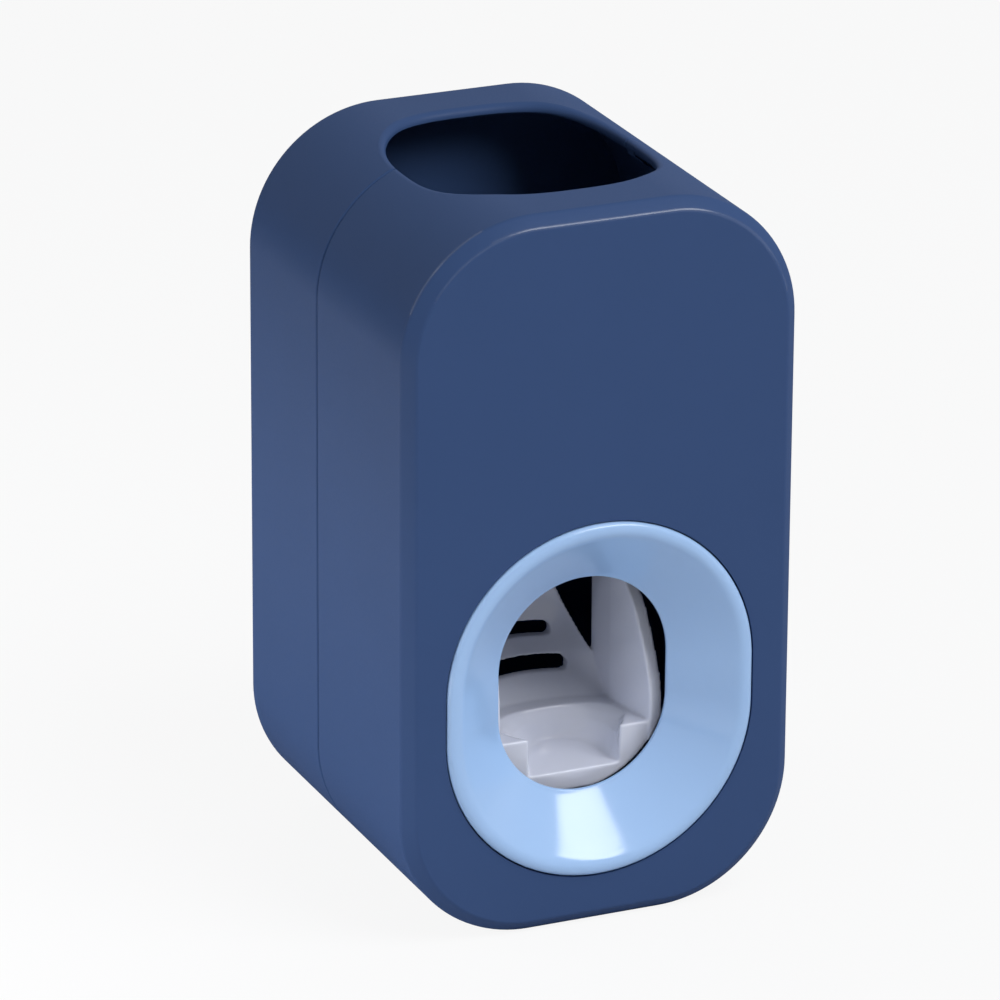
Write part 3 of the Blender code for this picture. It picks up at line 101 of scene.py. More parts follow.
aim, distance = Vector((0, -1.39 * mm, 56 * mm)), 1.053
back = towards(-23.87, 20.95)
side = Vector((0, 0, 1)).cross(back).normalized()
rise = back.cross(side)
roll = math.radians(0.41)
right = side * math.cos(roll) + rise * math.sin(roll)
up = rise * math.cos(roll) - side * math.sin(roll)
lens = bpy.data.cameras.new("long_lens")
lens.sensor_width = 36
lens.lens = 252.9
lens.shift_x, lens.shift_y = -0.0189, 0.0035
lens.clip_start, lens.clip_end = 0.1, 20
camera = place("camera", lens)
turn = Matrix((right, up, back)).transposed().to_4x4()
camera.matrix_world = Matrix.Translation(aim + distance * back) @ turn
bpy.context.scene.camera = camera
bpy.context.scene.view_settings.view_transform = "Standard"

# The sky is white to the eye, dimmer where a glossy face mirrors it, and lights the object only faintly
mirrored_strength, lighting_strength = 0.62, 0.13
sky = bpy.data.worlds.new("pale_sky")
sky.use_nodes = True
sky.node_tree.nodes.clear()
ray = add(sky.node_tree, "ShaderNodeLightPath").outputs
seen = add(sky.node_tree, "ShaderNodeMath", {0: ray["Is Camera Ray"], 1: ray["Is Transmission Ray"]},
           operation="MAXIMUM")
mirrored_sky = add(sky.node_tree, "ShaderNodeMath", {0: ray["Is Glossy Ray"], 1: mirrored_strength},
                   operation="MULTIPLY")
level = add(sky.node_tree, "ShaderNodeMath", {0: seen, 1: mirrored_sky}, operation="MAXIMUM")
strength = add(sky.node_tree, "ShaderNodeMath", {0: level, 1: lighting_strength}, operation="MAXIMUM")
glow = add(sky.node_tree, "ShaderNodeBackground", {"Color": linear("#FFFFFF"), "Strength": strength})
add(sky.node_tree, "ShaderNodeOutputWorld", {"Surface": glow})
bpy.context.scene.world = sky

# A lamp named softbox also shows as a patch of light in glossy faces; the others only light them
middle = (0, 0, 0.056)
lamp_places = [
    # name, where it stands in metres, what it points at, width, height, watts
    ("key_softbox", (0.5, -0.7, 0.78), middle, 0.66, 0.27, 3.3),
    ("high_key", (0.32, -0.51, 0.99), middle, 0.6, 0.5, 7.2),
    ("right_front_fill", (0.9, -0.42, 0.12), middle, 0.5, 0.3, 1.9),
    ("left_front_fill", (-0.85, -0.5, 0.12), middle, 0.5, 0.3, 1.2),
    ("left_softbox", (-0.93, 0.43, 0.1), middle, 0.7, 0.36, 0.4),
    ("left_floor_wash", (-0.28, 0.04, 0.1), (-0.28, 0.04, 0), 0.26, 0.42, 1.4),
    ("rear_left_softbox", (-0.66, 0.32, 0.74), middle, 0.14, 0.14, 0.25),
    ("back_fill", (0.5, 1.2, 0.7), middle, 0.6, 0.5, 3.5),
]
for name, stand, target, width, height, watts in lamp_places:
    box = bpy.data.lights.new(name, "AREA")
    box.shape = "RECTANGLE"
    box.size, box.size_y = width, height
    box.energy = watts
    lamp = place(name, box)
    lamp.location = stand
    lamp.rotation_euler = (Vector(stand) - Vector(target)).to_track_quat("Z", "Y").to_euler()
    lamp.visible_camera = False
    lamp.visible_glossy = "softbox" in name

floor_mesh = bpy.data.meshes.new("floor")
far = 6.0
floor_mesh.from_pydata([(-far, -far, 0), (far, -far, 0), (far, far, 0), (-far, far, 0)], [], [(0, 1, 2, 3)])
studio_floor = place("studio_floor", floor_mesh)
# Matt paper, shown to the camera as nine parts plain white, so that only a soft trace of the shadow is left
paper, tree = new_material("white_paper_floor")
matt = add(tree, "ShaderNodeBsdfDiffuse", {"Color": linear("#C2C4C8")})
white = add(tree, "ShaderNodeEmission", {"Color": linear("#FFFFFF"), "Strength": 1.0})
ray = add(tree, "ShaderNodeLightPath").outputs
white_share = add(tree, "ShaderNodeMath", {0: ray["Is Camera Ray"], 1: 0.9}, operation="MULTIPLY")
shown = add(tree, "ShaderNodeMixShader", {0: white_share, 1: matt, 2: white})
add(tree, "ShaderNodeOutputMaterial", {"Surface": shown})
floor_mesh.materials.append(paper)


# Front shell
# Front half of the housing, injection moulded in navy ABS with a fine matt grain from the tool.
# It slides over the rear half's lip; the ring is set in a shallow seat in its face.

def arc(centre_u, centre_v, radius, start, end, steps):
    """Points along an arc, both ends included; angles in degrees."""
    angles = [math.radians(start + (end - start) * i / steps) for i in range(steps + 1)]
    return [(centre_u + radius * math.cos(a), centre_v + radius * math.sin(a)) for a in angles]


def upright_stadium(centre_v, radius, straight, steps):
    """A circle pulled apart upwards and downwards."""
    return (arc(0, centre_v + straight, radius, 0, 180, steps)
            + arc(0, centre_v - straight, radius, 180, 360, steps))


def rounded_rectangle(low_u, high_u, low_v, high_v, radius, steps):
    """A closed rectangle with round corners."""
    corners = ((high_u - radius, high_v - radius, 0), (low_u + radius, high_v - radius, 90),
               (low_u + radius, low_v + radius, 180), (high_u - radius, low_v + radius, 270))
    return [p for u, v, start in corners for p in arc(u, v, radius, start, start + 90, steps)]


def skin(loops, closed=False):
    """Skin a row of closed outlines with equal counts; the ends are capped unless the row closes."""
    same_point = 0.0005 * mm
    bm = bmesh.new()
    rows = [[bm.verts.new(point) for point in loop] for loop in loops]
    count = len(rows[0])
    for first, second in zip(rows, rows[1:] + rows[:1] if closed else rows[1:]):
        for i in range(count):
            j = (i + 1) % count
            bm.faces.new((first[i], first[j], second[j], second[i]))
    if not closed:
        bm.faces.new(rows[0])
        bm.faces.new(rows[-1])
    bmesh.ops.remove_doubles(bm, verts=bm.verts, dist=same_point)
    bmesh.ops.recalc_face_normals(bm, faces=bm.faces)
    return bm


def prism(outline, axis, low, high):
    """Extrude an outline along X (points are y, z), Y (points are x, z) or Z (points are x, y)."""
    order = {"X": lambda u, v, w: (w, u, v), "Y": lambda u, v, w: (u, w, v), "Z": lambda u, v, w: (u, v, w)}
    return skin([[order[axis](u, v, w) for u, v in outline] for w in (low, high)])


def as_object(name, bm):
    """Turn a bmesh into an object of that name."""
    mesh = bpy.data.meshes.new(name)
    bm.to_mesh(mesh)
    bm.free()
    return place(name, mesh)


def settle(thing):
    """Turn what the modifiers give into the object's own mesh."""
    bpy.context.view_layer.update()
    result = bpy.data.meshes.new_from_object(thing.evaluated_get(bpy.context.evaluated_depsgraph_get()))
    thing.modifiers.clear()
    old = thing.data
    thing.data = result
    bpy.data.meshes.remove(old)
    result.name = thing.name


def combine(thing, operation, *shapes):
    """Join shapes to an object, or cut them from it, with an exact Boolean for each."""
    same_point = 0.001 * mm
    for shape in shapes:
        tool = as_object("tool", shape)
        change = thing.modifiers.new("change", "BOOLEAN")
        change.solver = "EXACT"
        change.operation = operation
        change.object = tool
        settle(thing)
        bpy.data.objects.remove(tool)
        bm = bmesh.new()
        bm.from_mesh(thing.data)
        bmesh.ops.remove_doubles(bm, verts=bm.verts, dist=same_point)
        bmesh.ops.dissolve_degenerate(bm, edges=bm.edges, dist=same_point)
        bm.to_mesh(thing.data)
        bm.free()


def smooth(thing, angle=35):
    """Shade smooth up to an angle, with flat faces kept flat beside their rounded edges."""
    thing.data.shade_smooth()
    thing.data.set_sharp_from_angle(angle=math.radians(angle))
    even = thing.modifiers.new("even", "WEIGHTED_NORMAL")
    even.keep_sharp = True
    even.weight = 50
    settle(thing)


def dress(thing, material, body, slot, *nodes):
    """Give a finished piece its material and its body, and hide the CAD nodes it stands for; its slot is not
    used.
    """
    thing.data.materials.clear()
    thing.data.materials.append(material)
    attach(thing, body)
    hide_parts(*nodes)


def moulded(name, colour, second_colour, roughness, grain, depth, level=0.5, coat=0.0, matt=0.0):
    """A moulded plastic: two close shades in slow clouds, a grain, and a share that has no shine."""
    cloud, gloss_swing = 50 / 3 * mm, 0.04
    material, tree = new_material(name)
    where = add(tree, "ShaderNodeTexCoord").outputs["Object"]
    clouds = add(tree, "ShaderNodeTexNoise", {"Vector": where, "Scale": 1 / cloud, "Detail": 3.0})
    shade = add(tree, "ShaderNodeMix", {"Factor": clouds, "A": linear(colour), "B": linear(second_colour)},
                data_type="RGBA").outputs["Result"]
    speckle = add(tree, "ShaderNodeTexNoise", {"Vector": where, "Scale": 1 / grain, "Detail": 2.0})
    relief = add(tree, "ShaderNodeBump", {"Height": speckle, "Strength": 1.0, "Distance": depth})
    gloss = add(tree, "ShaderNodeMapRange", {
        "Value": speckle, "From Min": 0.3, "From Max": 0.7,
        "To Min": roughness - gloss_swing, "To Max": roughness + gloss_swing})
    body = add(tree, "ShaderNodeBsdfPrincipled", {
        "Base Color": shade, "Roughness": gloss, "IOR": 1.53, "Specular IOR Level": level,
        "Coat Weight": coat, "Coat Roughness": 0.1, "Normal": relief})
    chalk = add(tree, "ShaderNodeBsdfDiffuse", {"Color": shade, "Normal": relief})
    both = add(tree, "ShaderNodeMixShader", {0: matt, 1: body, 2: chalk})
    add(tree, "ShaderNodeOutputMaterial", {"Surface": both})
    return material


# A grain of 0.35 mm, about two pixels and so the finest that shows, gives the soft, even sheen of matt ABS
navy_abs = moulded("matt_navy_ABS", "#354B74", "#374D77", 0.38, 0.35 * mm, 0.004 * mm, matt=0.75)

shell_low, shell_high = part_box("front_shell")
half_width, height = shell_high.x, shell_high.z
face_y, front_seam_y = shell_low.y, shell_high.y
corner, wall, gap = 20.7 * mm, 2 * mm, 0.3 * mm
face_band, face_crisp, seam_round = 1.85 * mm, 0.3 * mm, 0.35 * mm
mouth_half_x, mouth_half_y, mouth_y, mouth_power = 18.3 * mm, 20.1 * mm, face_y + 30.7 * mm, 2.7
mouth_foot, edge_relief, edge_depth = height - 16 * mm, 1.6 * mm, 1.3 * mm
overrun = 1 * mm


def outline_at(inset, y):
    """The housing's front outline drawn in by an inset, standing at one depth."""
    half = half_width - inset
    return [(x, y, z) for x, z in rounded_rectangle(-half, half, inset, height - inset, corner - inset, 28)]


def round_edge(radius, y, near, steps):
    """Insets and depths round the near edge of a solid, or its far edge, that ends at one depth."""
    start, end, back_in = (90, 0, 1) if near else (0, 90, -1)
    return [(radius - u, y + back_in * (radius - v)) for u, v in arc(0, 0, radius, start, end, steps)]


def face_edge():
    """Inset and depth behind the face along its edge: a slightly round band between two crisp rounds."""
    bow, steps = 0.02, 8
    points = [(face_band + face_crisp, 0), (face_band + face_crisp * 0.6, face_crisp * 0.04),
              (face_band + face_crisp * 0.25, face_crisp * 0.16)]
    for i in range(steps + 1):
        share = 0.06 + 0.88 * i / steps
        out = bow * face_band * 4 * share * (1 - share)
        points.append((face_band * (1 - share) - out, face_band * share - out))
    return points + [(face_crisp * 0.12, face_band + face_crisp * 0.4), (0, face_band + face_crisp)]


def top_height(x, inset=0):
    """Height of the housing's top, or of a face some way below it."""
    past = max(0, abs(x) - (half_width - corner))
    return height - corner + math.sqrt((corner - inset) ** 2 - past ** 2)


def mouth_loop(grow, level):
    """The mouth's oval, grown all round, with its height at each x given by a function."""
    points, steps = [], 160
    for i in range(steps):
        c, s = (math.copysign(abs(w) ** (2 / mouth_power), w)
                for w in (math.cos(math.tau * i / steps), math.sin(math.tau * i / steps)))
        x = (mouth_half_x + grow) * c
        points.append((x, mouth_y + (mouth_half_y + grow) * s, level(x)))
    return points


def mouth_relief(grow, under):
    """The space under the mouth's edge, up to a face some way below the top."""
    return skin([mouth_loop(grow, lambda x: mouth_foot), mouth_loop(grow, lambda x: top_height(x, under)),
                 mouth_loop(-overrun, lambda x: top_height(x, under))])


def mouth_cutter():
    """The oval that opens the top for the tube, with a round edge that follows the top's curve."""
    edge, last, beyond, steps = 1.2 * mm, math.radians(80), 1.2 * mm, 8
    levels = [mouth_loop(0, lambda x: mouth_foot)]
    for i in range(steps + 1):
        turn = last * i / steps
        levels.append(mouth_loop(edge * (1 - math.cos(turn)),
                                 lambda x, t=turn: top_height(x) - edge * (1 - math.sin(t))))
    grow = edge * (1 - math.cos(last)) + beyond
    climb = beyond / math.tan(last) - edge * (1 - math.sin(last))
    levels.append(mouth_loop(grow, lambda x: top_height(x) + climb))
    levels.append(mouth_loop(grow, lambda x: height + 2 * overrun))
    return skin(levels)


ring_low, ring_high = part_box("bezel_ring")
ring_z, ring_radius = (ring_low.z + ring_high.z) / 2, ring_high.x
ring_straight = (ring_high.z - ring_low.z) / 2 - ring_radius
seat_clearance, seat_depth, ring_ledge = 0.2 * mm, 1 * mm, 1.2 * mm

line = [(inset, face_y + depth) for inset, depth in face_edge()]
line += round_edge(seam_round, front_seam_y, False, 4) + [(wall, front_seam_y), (wall, face_y + wall)]
front = as_object("front_housing", skin([outline_at(*point) for point in line]))
seat_straight = ring_straight - seat_clearance
seat = upright_stadium(ring_z - seat_clearance, ring_radius + seat_clearance, seat_straight, 72)
hole = upright_stadium(ring_z, ring_radius - ring_ledge, ring_straight, 72)
combine(front, "DIFFERENCE", prism(seat, "Y", face_y - overrun, face_y + seat_depth),
        prism(hole, "Y", face_y - overrun, face_y + wall + overrun),
        mouth_relief(edge_relief, edge_depth), mouth_cutter())
smooth(front)
dress(front, navy_abs, "front_cover", "housing", "front_shell")

# Painted highlight: the crisp edges that face up round the top of the face, and the outer edge at the
# upper-left corner, get a shinier copy of the navy, so that they catch a thin line of light where the lamps
# put one
painted_highlight_abs = moulded("rubbed_navy_ABS_edge", "#354B74", "#374D77", 0.2, 0.35 * mm, 0.002 * mm)
front.data.materials.append(painted_highlight_abs)
highlight_before, highlight_after = 0.15 * mm, 0.35 * mm
# The faces for the painted highlight are picked by which way they point, not by any wear
for flat in front.data.polygons:
    depth, facing = flat.center.y - face_y, flat.normal
    inner = depth < face_crisp and facing.y > -0.999 and facing.z > 0.15 and facing.x > -0.25
    outer = (face_band - highlight_before < depth < face_band + highlight_after
             and facing.y < -0.02 and facing.z > 0.35 and facing.x < -0.35)
    if inner or outer:
        flat.material_index = 1


# Rear shell
# Rear half of the housing in the same navy ABS: a lip that the front half slides over, four bosses
# for the pump frame's screws, and two keyholes that hang on the wall plate's studs.

def rod(centre, axis, radius, low, high, steps=48):
    """A plain round bar; the centre is given square to its axis."""
    return prism(arc(*centre, radius, 0, 360, steps)[:-1], axis, low, high)


back_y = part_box("rear_shell")[1].y
rear_seam_y, seam_middle_y = front_seam_y + gap, front_seam_y + gap / 2
lip_inset, lip_thickness, lip_length, lip_lead = wall + gap, 1 * mm, 3 * mm, 0.3 * mm
back_round, rear_relief = 0.9 * mm, 5 * mm
screw_low, screw_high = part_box("frame_screw_1")
fixing_x, fixing_low_z = -(screw_low.x + screw_high.x) / 2, (screw_low.z + screw_high.z) / 2
fixing_high_z = sum(end.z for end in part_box("frame_screw_2")) / 2
fixings = [(x, z) for x in (-fixing_x, fixing_x) for z in (fixing_low_z, fixing_high_z)]
head_and_gap, ear_thickness = 2 * mm, 2 * mm
ear_y = screw_low.y + head_and_gap
ear_back = ear_y + ear_thickness
boss_end, boss_radius, pilot_radius, pilot_depth = ear_back + gap, 3.6 * mm, 1.5 * mm, 5.6 * mm

lip_in, lip_end, lip_foot = lip_inset + lip_thickness, seam_middle_y - lip_length, seam_middle_y + 2.5 * mm
line = [(wall, back_y - wall), (wall, lip_foot), (lip_in, seam_middle_y + lip_length / 2)]
line += [(lip_in, lip_end), (lip_inset + lip_lead, lip_end), (lip_inset, lip_end + lip_lead)]
line += [(lip_inset, rear_seam_y)] + round_edge(seam_round, rear_seam_y, True, 4)
line += round_edge(back_round, back_y, False, 6)
rear = as_object("rear_housing", skin([outline_at(*point) for point in line]))
combine(rear, "UNION", *[rod(spot, "Y", boss_radius, boss_end, back_y - wall / 2, 40) for spot in fixings])
combine(rear, "DIFFERENCE", *[rod(spot, "Y", pilot_radius, boss_end - overrun, boss_end + pilot_depth, 24)
                              for spot in fixings])
combine(rear, "DIFFERENCE", mouth_relief(rear_relief, wall + gap / 2), mouth_relief(edge_relief, edge_depth),
        mouth_cutter())

plate_low, plate_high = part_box("wall_plate")
stud_z, stud_x, stud_travel = plate_high.z - 12 * mm, 11 * mm, 9 * mm
keyhole_wide, keyhole_narrow = 4.5 * mm, 2.2 * mm
for x in (-stud_x, stud_x):
    low_z = stud_z - stud_travel
    slot = arc(x, stud_z, keyhole_narrow, 0, 180, 24)
    slot += [(x - keyhole_narrow, low_z), (x + keyhole_narrow, low_z)]
    ends = back_y - wall - overrun, back_y + overrun
    combine(rear, "DIFFERENCE", rod((x, low_z), "Y", keyhole_wide, *ends), prism(slot, "Y", *ends))
smooth(rear)
dress(rear, navy_abs, "housing", "housing", "rear_shell")


# Bezel ring
# Separate light blue ABS ring, moulded in a polished tool: a raised rim, a funnel down to the brush
# port, and four catches that snap behind the front wall.

# A polished tool leaves a long, faint wave of 6 mm and no grain, so highlights are bright with soft edges
sky_blue_abs = moulded("polished_sky_blue_ABS", "#9BBDE8", "#9EC0EB", 0.16, 6 * mm, 0.01 * mm, coat=0.6)

port_radius, port_straight, port_depth, ring_wall = 13.6 * mm, 3.3 * mm, 6.4 * mm, 1.8 * mm
ring_proud, rim_side, port_edge, port_end = face_y - ring_low.y, 0.7 * mm, 0.4 * mm, 0.6 * mm
skirt, skirt_end = ring_radius - 1.5 * mm, wall + gap + 0.8 * mm
catch_near, catch_far, catch_half, catch_round = skirt - 0.9 * mm, skirt + 1.1 * mm, 4 * mm, 0.3 * mm


def curve_through(points, steps):
    """A smooth line through points, with a few steps between each pair."""
    line = []
    padded = [points[0]] + list(points) + [points[-1]]
    for a, b, c, d in zip(padded, padded[1:], padded[2:], padded[3:]):
        for i in range(steps):
            t = i / steps
            line.append(tuple(0.5 * (2 * q + (r - p) * t + (2 * p - 5 * q + 4 * r - s) * t * t
                                     + (3 * q - p - 3 * r + s) * t ** 3)
                              for p, q, r, s in zip(a, b, c, d)))
    return line + [points[-1]]


def ring_loop(radius, depth):
    """The ring's outline at one radius; its straight stretch goes from the port's to the rim's."""
    share = (radius - port_radius) / (ring_radius - port_radius)
    flat = upright_stadium(ring_z - seat_clearance * share, radius,
                           port_straight + (seat_straight - port_straight) * share, 72)
    return [(x, face_y + depth, z) for x, z in flat]


# The rim's points are in from the ring's edge and the throat's are out from the port, each with its depth
rim = [(0, 0.3 * mm), (0.12 * mm, -0.12 * mm), (0.55 * mm, -0.48 * mm), (1.25 * mm, -ring_proud),
       (1.95 * mm, -0.45 * mm), (2.65 * mm, -0.02 * mm), (3.5 * mm, 0.65 * mm), (6 * mm, 2.59 * mm)]
throat = [(2.2 * mm, 4.76 * mm), (0.6 * mm, 6 * mm), (0.1 * mm, 6.35 * mm), (0, 6.6 * mm)]
front_line = curve_through([(ring_radius - u, depth) for u, depth in rim]
                           + [(port_radius + u, depth) for u, depth in throat], 4)
profile = [(ring_radius, rim_side)] + front_line
profile += [(port_radius, port_depth + port_edge), (port_radius + gap, port_depth + port_end),
            (skirt - ring_wall, skirt_end), (skirt, skirt_end), (skirt, rim_side)]
ring = as_object("bezel_ring_moulding", skin([ring_loop(*point) for point in profile], closed=True))
for side in (-1, 1):
    across = sorted((side * catch_near, side * catch_far))
    upright = sorted(ring_z + side * (ring_straight + r) for r in (catch_near, catch_far))
    beside = rounded_rectangle(*across, ring_z - catch_half, ring_z + catch_half, catch_round, 4)
    above = rounded_rectangle(-catch_half, catch_half, *upright, catch_round, 4)
    for catch in (beside, above):
        combine(ring, "UNION", prism(catch, "Y", face_y + wall + gap, face_y + skirt_end))
smooth(ring, 50)
dress(ring, sky_blue_abs, "front_cover", "ring", "bezel_ring")


# Push lever
# One polished grey moulding: the cradle that the brush head pushes, with a notch for its neck, a
# slotted hollow back, and two side walls that rise to the pivot and reach back as crank arms.

# The same polish as the ring's: the edges of ledge and notch catch light, and the hollow back shades softly
cradle_abs = moulded("polished_grey_ABS", "#D6DAE9", "#D9DDEC", 0.14, 5 * mm, 0.01 * mm, coat=0.5)

lip_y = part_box("push_lever")[0].y
pin_low, pin_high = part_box("pivot_pin")
pivot_y, pivot_z = (pin_low.y + pin_high.y) / 2, (pin_low.z + pin_high.z) / 2
barrel_low, barrel_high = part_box("pump_cylinder")
pump_y = (barrel_low.y + barrel_high.y) / 2
pin_radius, crank_z, crank_lift, swing = 1.5 * mm, 42 * mm, 7.7 * mm, math.radians(20)
arm_inner, arm_thickness, pivot_boss, crank_boss = 10.3 * mm, 2 * mm, 4 * mm, 3.7 * mm
flare, flare_back, flare_power = 1.9 * mm, 10.5 * mm, 1.3
ledge_z, cradle_bottom, belly_radius = 26.9 * mm, 17.6 * mm, 15 * mm
notch_half, notch_floor, pocket_length, pocket_shoulder = 7.4 * mm, 20.9 * mm, 11.3 * mm, 4.5 * mm
tip_z, tongue_top, tongue_top_half, tongue_thickness = 32.35 * mm, 43.5 * mm, 5.7 * mm, 1.8 * mm
tongue_foot_back, tongue_lean, tongue_curve = 14.2 * mm, 10.4 * mm, 2.6
foot_sag, more_sag, sag_share = 2 * mm, 3 * mm, 0.35
slot_places, slot_end, slot_edge = (30.7 * mm, 35.05 * mm), 0.98 * mm, 3.8 * mm
wall_top, brow_z, neck_back = 44 * mm, 50.5 * mm, 17.6 * mm


def arm_face(y):
    """How far the inner face of a side wall stands from the middle; it flares towards the lip."""
    ahead = max(0, (lip_y + flare_back - y) / flare_back)
    return arm_inner + flare * ahead ** flare_power


def tongue_face(x, z):
    """Depth of the tongue's front face: it leans back in a curve and is hollow across."""
    share = max(0, (z - ledge_z) / (tongue_top - ledge_z))
    middle = tongue_foot_back + tongue_lean * (1 - (1 - min(1, share)) ** tongue_curve)
    sag = foot_sag + more_sag * min(1, share / sag_share)
    return lip_y + middle - sag * (x / arm_inner) ** 2


def tongue():
    """The hollow back of the cradle, a sheet of even thickness between the side walls."""
    columns, low_rows, high_rows, sunk, step_up = 32, 12, 18, 1 * mm, 0.2 * mm
    tip_half, foot_z = arm_inner - gap, ledge_z - sunk
    rows = [(foot_z + (tip_z - foot_z) * i / low_rows, arm_inner + sunk) for i in range(low_rows + 1)]
    rows += [(tip_z + step_up + (tongue_top - tip_z) * i / high_rows,
              tip_half + (tongue_top_half - tip_half) * i / high_rows) for i in range(high_rows)]
    rows.append((tongue_top, tongue_top_half))
    loops = []
    for z, half in rows:
        xs = [half * (2 * i / columns - 1) for i in range(columns + 1)]
        loops.append([(x, tongue_face(x, z), z) for x in xs]
                     + [(x, tongue_face(x, z) + tongue_thickness, z) for x in reversed(xs)])
    return skin(loops)


def cradle_block():
    """The cradle's floor and ledge, between the side walls."""
    half, steps = arm_thickness / 2, 12
    back = [(x, tongue_face(x, ledge_z) + tongue_thickness)
            for x in (arm_inner * i / steps for i in range(steps, -steps - 1, -1))]
    ys = [lip_y + gap + (back[0][1] - lip_y - gap) * i / steps for i in range(steps + 1)]
    right = [(arm_face(y) + half, y) for y in ys]
    outline = right + back[1:-1] + [(-x, y) for x, y in reversed(right)]
    return prism(outline, "Z", cradle_bottom + gap, ledge_z)


def pocket_cutter():
    """The hollow for the brush head: a notch in the lip that opens into a bowl."""
    steps, loops, straight, floor_rise = 32, [], 0.6 * mm, 1.2 * mm
    # Shares of the way from the bowl's floor to its rim, outwards and upwards, and a height to add
    for spread, rise, lift in ((0, 0, 0), (0.12, 0.1, 0), (0.28, 0.3, 0), (0.45, 0.6, 0), (0.75, 0.86, 0),
                               (1, 1, 0), (1, 1, overrun)):
        half, length, power = (6 + 4.3 * spread) * mm, (10.2 + 1.1 * spread) * mm, 1.8 + 0.7 * spread
        side = [(notch_half, lip_y - overrun), (notch_half, lip_y + straight),
                ((notch_half + half) / 2, lip_y + pocket_shoulder / 2)]
        back, behind = [], length - pocket_shoulder
        for i in range(steps + 1):
            c, s = math.cos(math.pi * i / steps), max(0, math.sin(math.pi * i / steps))
            back.append((half * math.copysign(abs(c) ** (2 / power), c),
                         lip_y + pocket_shoulder + behind * s ** (2 / power)))
        loop = []
        for x, y in side + back + [(-x, y) for x, y in reversed(side)]:
            floor = notch_floor + floor_rise * (y - lip_y) / pocket_length
            loop.append((x, y, floor + (ledge_z - floor) * rise + lift))
        loops.append(loop)
    return skin(loops)


def crank_slot():
    """The slot that the trunnion slides in, along the path it takes as the lever turns."""
    path, steps = [], 8
    for i in range(steps + 1):
        turn, lift = swing * i / steps, crank_lift * i / steps
        y, z = pump_y - pivot_y, crank_z - pivot_z + lift
        path.append((pivot_y + y * math.cos(turn) + z * math.sin(turn),
                     pivot_z - y * math.sin(turn) + z * math.cos(turn)))
    reach = pin_radius + gap
    first, last = path[0], path[-1]
    heading = math.degrees(math.atan2(last[1] - first[1], last[0] - first[0]))
    normal = math.radians(heading + 90)
    across = (reach * math.cos(normal), reach * math.sin(normal))
    outline = arc(*first, reach, heading + 90, heading + 270, 24)
    outline += [(u - across[0], v - across[1]) for u, v in path[1:-1]]
    outline += arc(*last, reach, heading - 90, heading + 90, 24)
    outline += [(u + across[0], v + across[1]) for u, v in reversed(path[1:-1])]
    return prism(outline, "X", -overrun, arm_thickness + overrun)


def side_wall():
    """Right side of the lever: cradle wall, pivot boss and crank arm in one plate."""
    along = math.atan2(crank_z - pivot_z, pump_y - pivot_y)
    lean = math.acos((pivot_boss - crank_boss) / math.hypot(pump_y - pivot_y, crank_z - pivot_z))
    start, end = math.degrees(along + lean), math.degrees(along - lean)
    bar = arc(pivot_y, pivot_z, pivot_boss, start, end + 360, 32)
    bar += arc(pump_y, crank_z, crank_boss, end, start, 32)
    # The front edge leans back from 30 mm up, with a point each mm, and ends in a shoulder, a brow and a chin
    foot_mm, rows, slope_back, slope_power = 30, 14, 4.3 * mm, 1.6
    shoulder_back, shoulder_z, brow_back = 5.8 * mm, 46.2 * mm, 9.3 * mm
    chin_in, chin_drop = 3.6 * mm, 1.6 * mm
    slope = [(lip_y + slope_back * (i / rows) ** slope_power, (foot_mm + i) * mm) for i in range(rows + 1)]
    slope += [(lip_y + shoulder_back, shoulder_z), (lip_y + brow_back, brow_z)]
    chin = (pivot_y - chin_in, pivot_z - chin_drop)
    neck, web = lip_y + neck_back, 4 * mm
    heel = (tongue_face(arm_inner, ledge_z) + 2 * tongue_thickness, cradle_bottom)
    face = slope + [chin, (pivot_y, pivot_z), (neck + web, pivot_z - web)]
    face += [(neck + gap, pivot_z - 2 * web), (neck, wall_top), (neck, tip_z), heel, (lip_y, cradle_bottom)]
    plate = as_object("plate", prism(face, "X", 0, arm_thickness))
    combine(plate, "UNION", prism(bar, "X", 0, arm_thickness))
    bore = rod((pivot_y, pivot_z), "X", pin_radius + gap, -overrun, arm_thickness + overrun, 32)
    combine(plate, "DIFFERENCE", crank_slot(), bore)
    bm = bmesh.new()
    bm.from_mesh(plate.data)
    bpy.data.objects.remove(plate)
    for i in range(1, 11):
        bmesh.ops.bisect_plane(bm, geom=bm.verts[:] + bm.edges[:] + bm.faces[:], dist=0.001 * mm,
                               plane_co=(0, lip_y + flare_back * i / 10, 0), plane_no=(0, 1, 0))
    for vert in bm.verts:
        vert.co.x += arm_face(vert.co.y)
    return bm


def mirrored(bm):
    """A copy of a mesh with left and right exchanged."""
    copy = bm.copy()
    for vert in copy.verts:
        vert.co.x = -vert.co.x
    bmesh.ops.reverse_faces(copy, faces=copy.faces)
    return copy


def soften(thing, grid, rounds):
    """Remake the surface on a fine grid and relax it, which rounds every edge as a mould does."""
    remake = thing.modifiers.new("remake", "REMESH")
    remake.mode = "VOXEL"
    remake.voxel_size = grid
    relax = thing.modifiers.new("relax", "SMOOTH")
    relax.factor, relax.iterations = 0.5, rounds
    settle(thing)
    thing.data.shade_smooth()


